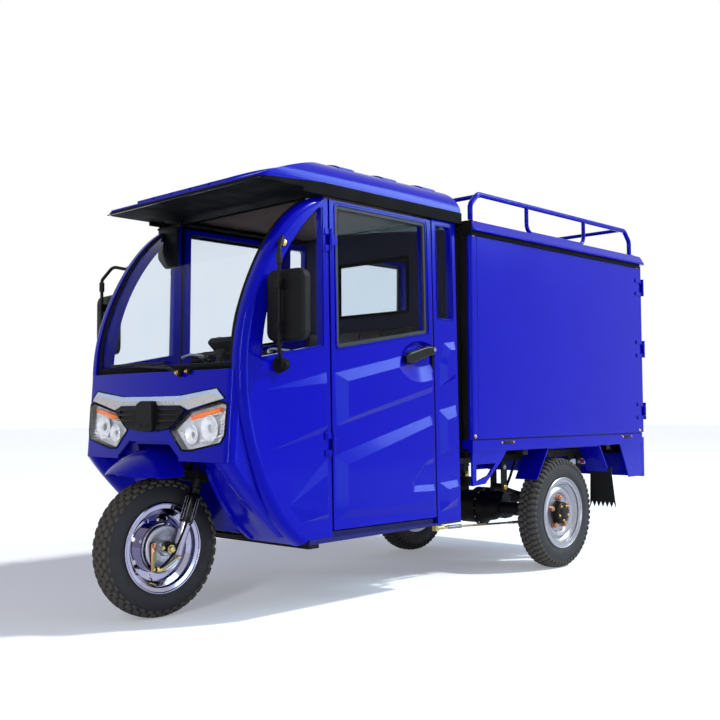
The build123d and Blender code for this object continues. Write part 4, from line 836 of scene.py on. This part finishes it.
# ---------------------------------------------------------------- fork, brake and wipers
# Underside of the fender: a thin black rubber liner that shows as a dark rim below its edge; it paints the shade under
# the fender, and the rim stands partly for a dark rolled edge.
liner = place(skin("front_fender", 0.02, lambda f: f.normal.z > -0.15), "fender_liner_painted_shade", seal_rubber, "steering",
              "black_rubber", sharp=60)
liner.modifiers.new("wall", "SOLIDIFY").thickness = -0.003


def fork_sleeves():
    """Bright lower legs, slotted black sleeves with bright outlines and rubber boots on both legs."""
    slot = [(-9, 104), (9, 104), (9, 196), (-9, 196)]
    for x in (-80, 80):
        leg = steer_at @ move(x, 0, 0)
        along = leg @ turn(-90, "Y")
        yield 0, turned([(-30, 0), (-30, 16), (-26, 20.5), (60, 20.5), (64, 22), (96, 22), (98, 20)], along, 32)
        yield 1, turned([(96, 19.5), (96, 24), (99, 26), (204, 26), (208, 24), (208, 19.5)], along, 32)
        yield 1, turned([(208, 20), (212, 23), (216, 20), (220, 23), (224, 20), (228, 23), (232, 20)], along, 24)
        for angle in (0.0, 1.9, 4.1):
            yield 2, ring(slot, 25.2, 26.8, 2, leg @ Matrix.Rotation(angle, 4, "Z") @ upright, 6)


place(fork_sleeves(), "fork_sleeves", [chrome, abs_gloss, zinc], "steering", "bright_steel")


def front_brake():
    """Axle nuts, gold bracket, copper arm with a green strip, spring and adjuster on the left of the drum."""
    yield 5, turned([(43.6, 84), (52.4, 84.5), (54.5, 82), (54.5, 66), (53.2, 64), (53.2, 30), (60.6, 26),
                     (61, 18), (61, 0)], front_at, 56)
    for side in (1, -1):
        yield 0, screw_head((side * 92, 0, 0), (side, 0, 0), 12, 14, front_at)
        yield 0, screw_head((side * 88, -34, 8), (side, 0, 0), 6, 9, front_at)
    yield 1, brick(58, 62, -66, -44, -80, 22, front_at, 1.5)
    yield 3, brick(62, 64, -60, -50, -66, -8, front_at, 0.6)
    yield 1, screw_head((62, -55, 16), (1, 0, 0), 8, 9, front_at)
    yield 0, screw_head((62, -55, -72), (1, 0, 0), 6, 8, front_at)
    yield 0, brick(56, 78, -50, -12, -84, -78, front_at, 1.5)
    yield 0, brick(74, 78, -50, -12, -84, -64, front_at, 1.5)
    yield 0, bar((76, -30, -74), (76, 40, -38), 4.5, front_at)
    yield 0, bar((76, 40, -38), (76, 52, -32), 8, front_at, 6)
    for i in range(9):
        yield 4, bar((76, -22 + i * 6, -70 + i * 3.1), (76, -19.4 + i * 6, -68.6 + i * 3.1), 7, front_at, 14)


place(front_brake(), "front_brake_linkage", [zinc_gold, copper_zinc, brass, olive_mark, zinc, cast_alloy], "steering",
      "bright_steel")
place(tube([(64, -52, -76), (92, -20, -60), (104, 40, 40), (96, 110, 190), (60, 150, 330)], 4.5, front_at),
      "front_brake_cable", seal_rubber, "steering", "black_rubber")


def wiper_dress():
    """Cap nuts on the wiper spindles and the ribbed spring arm over the CAD arm."""
    yield 0, screw_head((186, -44, 914), (0, -1, 0.05), 6, 9, cab_at)
    yield 0, screw_head((232, -36, 918), (0, -1, 0.05), 4.5, 7, cab_at)
    yield 1, bar((186, -42, 914), (186, -24, 913.5), 14, cab_at, 24, 2)
    yield 1, bar((232, -32, 918), (232, -20, 918), 11, cab_at, 24, 2)
    arm = Vector((-66, 0, 20)).to_track_quat("Z", "Y").to_matrix().to_4x4()
    yield 1, brick(-6, 6, -4, 4, 0, 70, cab_at @ move(184, -38, 916) @ arm, 1.5)


place(wiper_dress(), "wiper_dress", [brass, abs_black], "chassis", "black_plastic")


def mirror_dress():
    """Rubber cup foot, clamp nuts and joint collars of the left mirror."""
    foot, top = Vector((486, 184, 940)), Vector((481, 196, 1385))
    out = Vector((1, 0, 0))
    yield 0, turned([(0, 0), (0, 31), (5, 32), (12, 27), (26, 25), (38, 22), (42, 14), (42, 0)],
                    cab_at @ Matrix.Translation(foot), 36)
    yield 1, screw_head(foot + out * 42, out, 7, 7, cab_at)
    yield 2, screw_head(top + out * 20, out, 9, 12, cab_at)
    yield 1, bar(top + out * 2, top + out * 20, 17, cab_at, 24, 3)
    yield 3, bar((573, 111, 1290), (573, 111, 1330), 11, cab_at, 20, 2)
    yield 1, bar((573, 111, 1000), (573, 111, 1014), 11, cab_at, 20, 2)


def mirror_face():
    """Silvered glass and its raised rim on the back of the left mirror."""
    at = cab_at @ move(578, 146, 1147) @ turn(8, "Z") @ upright
    outline = block(175, 255)
    yield 1, ring(outline, -19.5, -16, 9, at, 34)
    yield 0, plate(grown(outline, -7), -18, -16.8, at, 28)


def door_lock():
    """Key lock and escutcheon at the rear of the left door handle."""
    yield 0, bar((1040, 726, 3), (1040, 726, 27), 11, side_at, 28, 2)
    yield 1, bar((1040, 726, 27), (1040, 726, 28.5), 8, side_at, 28)


twins(mirror_dress, "mirror_mounts", [seal_rubber, abs_black, brass, chassis_black], "chassis", "black_rubber")
twins(mirror_face, "mirror_glass", [mirror_glass, abs_black], "chassis", "black_plastic")
twins(door_lock, "door_lock", [abs_gloss, chrome], "cab_door", "black_plastic", True)


# ---------------------------------------------------------------- cargo box
def box_screws():
    """Brass screws at the corners of the left wall."""
    for y in (y_front + 22, y_back - 21):
        for z in (floor_high.z + 11, roof_low.z - 16):
            yield screw_head((wall_x, y, z), (1, 0, 0), 6, 5)


def eave_strip_painted_shadow():
    """Dark rubber strip under the roof's lip, on both sides and at the front of the box: partly a real seal, drawn
    deep as painted shadow under the lip.
    """
    foot, top = roof_low.z - 20, roof_low.z
    for side in (1, -1):
        yield brick(side * (wall_x - 1), side * (wall_x + 8), y_front - 2, y_back - 1.5, foot, top, MM, 2)
    yield brick(-wall_x, wall_x, y_front - 8, y_front, foot, top, MM, 2)


def gap_flashing_painted_shade():
    """Black rubber flashing over the box's front lip with two round rolls that close the gap to the cab's roof,
    painting the shade in that gap.
    """
    yield brick(-541, 541, roof_low.y - 3, roof_low.y, 1553, 1609, MM, 1.2)
    for y, z, radius in ((-40, 1606, 13), (-36, 1580, 9)):
        yield bar((-488, y, z), (488, y, z), radius, MM, 28, 5)
    for x in range(-480, 481, 80):
        yield bar((x, -40, 1606), (x + 5, -40, 1606), 14.2, MM, 28, 1)


def foot_seam():
    """Rubber line along the foot of both walls."""
    for side in (1, -1):
        yield brick(side * (wall_x - 0.5), side * (wall_x + 3.5), y_front + 1, y_back - 0.5, 637.5, 642.5, MM, 0.8)


def latch_slots():
    """Black latch slots with raised faces and brass screws near the foot of the left wall."""
    for y in (215, 1310):
        yield 0, brick(wall_x + 1, wall_x + 4, y, y + 74, 616, 632, MM, 1)
        yield 1, brick(wall_x + 3, wall_x + 5, y + 8, y + 66, 621, 627, MM, 0.6)
        for screw_y in (y - 8, y + 82):
            yield 2, screw_head((wall_x + 1.5, screw_y, 624), (1, 0, 0), 4, 4)


def rack_feet():
    """Round foot flanges with bolts under the rack's legs, and oblong ones under its hanging loops."""
    roof = roof_high.z
    for x in (rack_x, -rack_x):
        for y in (y_front + 55, y_back - 30):
            yield 0, bar((x, y, roof), (x, y, roof + 5), 30, MM, 32, 1)
            yield 0, bar((x, y, roof + 4), (x, y, roof + 12), 15.5, MM, 24, 2)
            for dx, dy in bolt_circle(4, 20):
                yield 1, screw_head((x + dx, y + dy, roof + 5), (0, 0, 1), 4, 5)
        for y in (y_front + 600, y_front + 920):
            yield 0, brick(x - 14, x + 14, y - 22, y + 22, roof, roof + 4, MM, 1)
            for dy in (-15, 15):
                yield 1, screw_head((x, y + dy, roof + 4), (0, 0, 1), 4, 5)


def door_pressings():
    """Pressed frame, ribs and hinge bolts on the left rear door."""
    door_face = tail_y + 4
    at = MM @ move(0, door_face, 0) @ upright @ Matrix.Scale(-1, 4, (0, 0, 1))
    yield 0, ring([(24, 668), (498, 668), (498, 1540), (24, 1540)], -0.5, 5, 34, at)
    for z in (880, 1104, 1328):
        yield 0, plate([(110, z - 42), (455, z - 42), (455, z + 42), (110, z + 42)], -0.5, 6, at, 20, 4)
    for z in (760, 1100, 1440):
        for x in (458, 478, 498):
            yield 1, screw_head((x, door_face + 0.5, z), (0, 1, 0), 5, 5)


twins(box_screws, "wall_screws", brass, "chassis", "bright_steel")
place(eave_strip_painted_shadow(), "eave_seal_painted_shadow", seal_rubber, "chassis", "black_rubber")
place(gap_flashing_painted_shade(), "gap_flashing_painted_shade", seal_rubber, "chassis", "black_rubber")
place(foot_seam(), "wall_foot_seam", seal_rubber, "chassis", "black_rubber")
twins(latch_slots, "latch_slots", [abs_black, chassis_black, brass], "chassis", "black_plastic")
place(rack_feet(), "rack_feet", [enamel, brass], "chassis", "blue_paint")
twins(door_pressings, "door_pressings", [enamel, zinc], "cargo_door", "blue_paint", True, bevel=1.5)


# ---------------------------------------------------------------- under the box
def spring_dress():
    """U-bolts, leaf clips, shackle nuts and rubber bush faces of the left spring."""
    for y in (rear_y - 26, rear_y + 26):
        for x in (340, 400):
            yield 1, bar((x, y, 236), (x, y, 378), 5, MM, 14)
            yield 1, screw_head((x, y, 366), (0, 0, 1), 9, 10)
            yield 1, screw_head((x, y, 240), (0, 0, -1), 9, 10)
        yield 1, tube([(340, y, 240), (342, y, 232), (370, y, 230), (398, y, 232), (400, y, 240)], 5)
    for y in (rear_y - 190, rear_y + 190):
        yield 0, brick(342, 398, y - 10, y + 10, 326, 372, MM, 2)
    for y in (rear_y - 331, rear_y + 331):
        for side in (-1, 1):
            yield 2, screw_head((370 + side * 36, y, 405), (side, 0, 0), 10, 9)
            yield 1, screw_head((370 + side * 34, y, 500), (side, 0, 0), 8, 7)


def axle_dress():
    """Casing bolts, motor fins, drain plug, flange bolts and breather hose on the rear axle."""
    y, z = rear_y, 267
    for dy, dz in bolt_circle(12, 88):
        yield 1, screw_head((30, y + dy, z + dz), (1, 0, 0), 5, 6)
    yield 0, turned([(24, 84), (24, 95), (34, 95), (34, 80)], MM @ move(0, y, z), 48)
    for i in range(8):
        x = -92 + i * 25
        yield 0, turned([(x, 72), (x, 79), (x + 7, 79), (x + 7, 72)], MM @ move(0, y + 120, z + 12), 48)
    yield 1, screw_head((0, y, 184), (0, 0, -1), 11, 8)
    for side in (-1, 1):
        for dy, dz in bolt_circle(6, 60):
            yield 1, screw_head((side * 398, y + dy, z + dz), (-side, 0, 0), 6, 7)
    yield 2, tube([(0, y + 194, z + 30), (0, y + 260, z + 90), (60, y + 250, 500), (120, y + 200, 540)], 7)


def brake_rod_ends():
    """Threaded ends, clevises, brass adjusters and return springs of the left brake rod."""
    front, back = y_front + 30, rear_y - 56.5
    yield 1, bar((300, back - 70, 215), (300, back - 8, 212.5), 7.5, MM, 6)
    yield 2, bar((300, back - 96, 216), (300, back - 70, 215), 6.5)
    yield 1, bar((300, front + 34, 238), (300, front + 64, 237), 7, MM, 6)
    for i in range(16):
        y, z = front + 70 + i * 6, 236.5 - i * 0.2
        yield 2, bar((300, y, z), (300, y + 3, z - 0.1), 9, MM, 16)


def reflectors():
    """Oblong red reflectors in black frames on both sides of the tail."""
    for x in (-300, 300):
        yield 1, brick(x - 45, x + 45, tail_y, tail_y + 5, 493, 527, MM, 1.5)
        yield 0, brick(x - 41, x + 41, tail_y + 4, tail_y + 8, 497, 523, MM, 1.5)


def side_marker():
    """White and red side marker on a bracket under the left rail."""
    marker_at = MM @ move(0, rear_y + 355, 500) @ Matrix(((0, 0, 1, 0), (1, 0, 0, 0), (0, 1, 0, 0), (0, 0, 0, 1)))
    yield 1, brick(-105, 105, -22, 36, 390, 393, marker_at, 1)
    yield 2, plate(block(186, 28), 393, 398, marker_at, 13, 1.5)
    yield 0, brick(-37, 37, -11, 11, 397, 399.5, marker_at, 1)


def number_plate():
    """Blank plate in a black frame with two screws."""
    yield 1, brick(-110, 110, tail_y, tail_y + 3, 440, 580, MM, 1)
    yield 0, brick(-102, 102, tail_y + 3, tail_y + 4.5, 448, 572, MM, 0.6)
    for x in (-70, 70):
        yield 2, screw_head((x, tail_y + 4.5, 556), (0, 1, 0), 4, 3)


def lamp_rims():
    """Black housing around the left tail lamp, its ribbed red lens face and its amber turn field."""
    yield 0, ring([(366, 464), (498, 464), (498, 562), (366, 562)], 0, 17, 7,
                  MM @ move(0, tail_y + 17, 0) @ upright, 12)
    yield 2, brick(380, 484, tail_y + 19, tail_y + 22, 524, 546, MM, 2)
    for z in range(480, 520, 8):
        yield 1, brick(380, 484, tail_y + 19, tail_y + 22, z, z + 4, MM, 1)


def flap_ribs():
    """Moulded ribs and a bolted clamp bar on the left mud flap."""
    y = rear_y + 440
    for i in range(6):
        yield 0, brick(416, 536 - i * 2, y + 5, y + 7.5, 300 + i * 22, 305 + i * 22, MM, 0.8)
    yield 1, brick(404, 530, y + 5, y + 9, 446, 470, MM, 1)
    for x in (424, 466, 508):
        yield 2, screw_head((x, y + 9, 458), (0, 1, 0), 5, 5)


twins(spring_dress, "spring_clips", [chassis_black, zinc, brass], "chassis", "black_paint")
place(axle_dress(), "axle_dress", [chassis_black, zinc, seal_rubber], "chassis", "black_paint")
twins(brake_rod_ends, "brake_rod_ends", [zinc_gold, brass, zinc], "chassis", "bright_steel")
place(reflectors(), "rear_reflectors", [red_lens, abs_black], "chassis", "red_plastic")
twins(side_marker, "side_marker", [red_lens, chassis_black, plate_white], "chassis", "red_plastic")
place(number_plate(), "blank_plate", [plate_white, abs_black, zinc], "chassis", "black_plastic")
twins(lamp_rims, "tail_lamp_rims", [abs_black, red_lens, amber], "chassis", "black_plastic")
twins(flap_ribs, "flap_ribs", [flap_rubber, chassis_black, zinc], "chassis", "black_rubber")


# ---------------------------------------------------------------- floor, camera and light
def watching_rays(tree):
    """1 for rays that show the background: to the camera, off gloss and through glass."""
    path = add(tree, "LightPath").outputs
    seen = add(tree, "Math", {0: path["Is Camera Ray"], 1: path["Is Glossy Ray"]}, operation="MAXIMUM")
    return add(tree, "Math", {0: seen.outputs[0], 1: path["Is Transmission Ray"]}, operation="MAXIMUM").outputs[0]


# Matt paper sweep: plain and pale, lifted a little where it is looked at, and it keeps the shadow.
floor_lift = 0.25
floor_sheet = bpy.data.materials.new("pale_paper_sweep")
floor_sheet.use_nodes = True
tree = floor_sheet.node_tree
tree.nodes.clear()
lift = add(tree, "Math", {0: watching_rays(tree), 1: floor_lift}, operation="MULTIPLY")
shader = add(tree, "BsdfPrincipled", {"Base Color": linear("F1F3F6"), "Roughness": 0.95, "Specular IOR Level": 0.0,
                                      "Emission Color": (1, 1, 1, 1), "Emission Strength": lift.outputs[0]})
add(tree, "OutputMaterial", {"Surface": shader.outputs[0]})
bpy.ops.mesh.primitive_plane_add(size=80)
floor = bpy.context.object
floor.name = "floor"
floor.data.materials.append(floor_sheet)

# The room is white where it is looked at, and a dim cool light elsewhere.
room_light = 0.25
world = bpy.data.worlds.new("white_studio")
bpy.context.scene.world = world
world.use_nodes = True
tree = world.node_tree
seen = watching_rays(tree)
level = add(tree, "MapRange", {"Value": seen, "To Min": room_light, "To Max": 1.0})
tone = add(tree, "Mix", {"Factor": seen, "A": linear("DCE6FF"), "B": (1, 1, 1, 1)}, data_type="RGBA")
tree.links.new(level.outputs[0], tree.nodes["Background"].inputs["Strength"])
tree.links.new(tone.outputs["Result"], tree.nodes["Background"].inputs["Color"])


def hung(name, thing):
    """An object in the scene for a camera or a lamp."""
    holder = bpy.data.objects.new(name, thing)
    bpy.context.scene.collection.objects.link(holder)
    return holder


camera = hung("camera", bpy.data.cameras.new("camera"))
camera.data.lens = 49.86
eye = (3.1883, front_axle.y - 2.2186, 0.7736)
heading, tilt, roll = 43.67, 92.88, -0.34
camera.matrix_world = move(*eye) @ turn(heading, "Z") @ turn(tilt, "X") @ turn(roll, "Z")
bpy.context.scene.camera = camera


def studio_lamp(name, wide, high, power, spot, aim, tint=(1, 1, 1)):
    """A soft oblong lamp aimed at a point."""
    light = bpy.data.lights.new(name, "AREA")
    light.shape = "RECTANGLE"
    light.size, light.size_y = wide, high
    light.energy = power
    light.color = tint
    holder = hung(name, light)
    holder.location = spot
    holder.rotation_euler = (Vector(aim) - Vector(spot)).to_track_quat("-Z", "Y").to_euler()


studio_lamp("high_key", 4.4, 6.0, 1000, (8.25, 9.4, 7.0), (0.4, -0.6, 0.9), (0.62, 0.86, 1))
studio_lamp("side_strip", 1.4, 2.8, 62, (6.2, 1.5, 1.3), (0.5, -0.8, 0.8), (0.55, 0.78, 1))
studio_lamp("front_strip", 0.6, 3.8, 130, (2.9, -6.0, 2.3), (0.3, -0.9, 1.0))
sun = bpy.data.lights.new("far_key", "SUN")
sun.energy = 2.6
sun.angle = radians(3)
sun.cycles.use_multiple_importance_sampling = False
hung("far_key", sun).rotation_euler = Vector((-4.0, -3.7, -5.6)).to_track_quat("-Z", "Y").to_euler()
bpy.context.scene.view_settings.view_transform = "Standard"
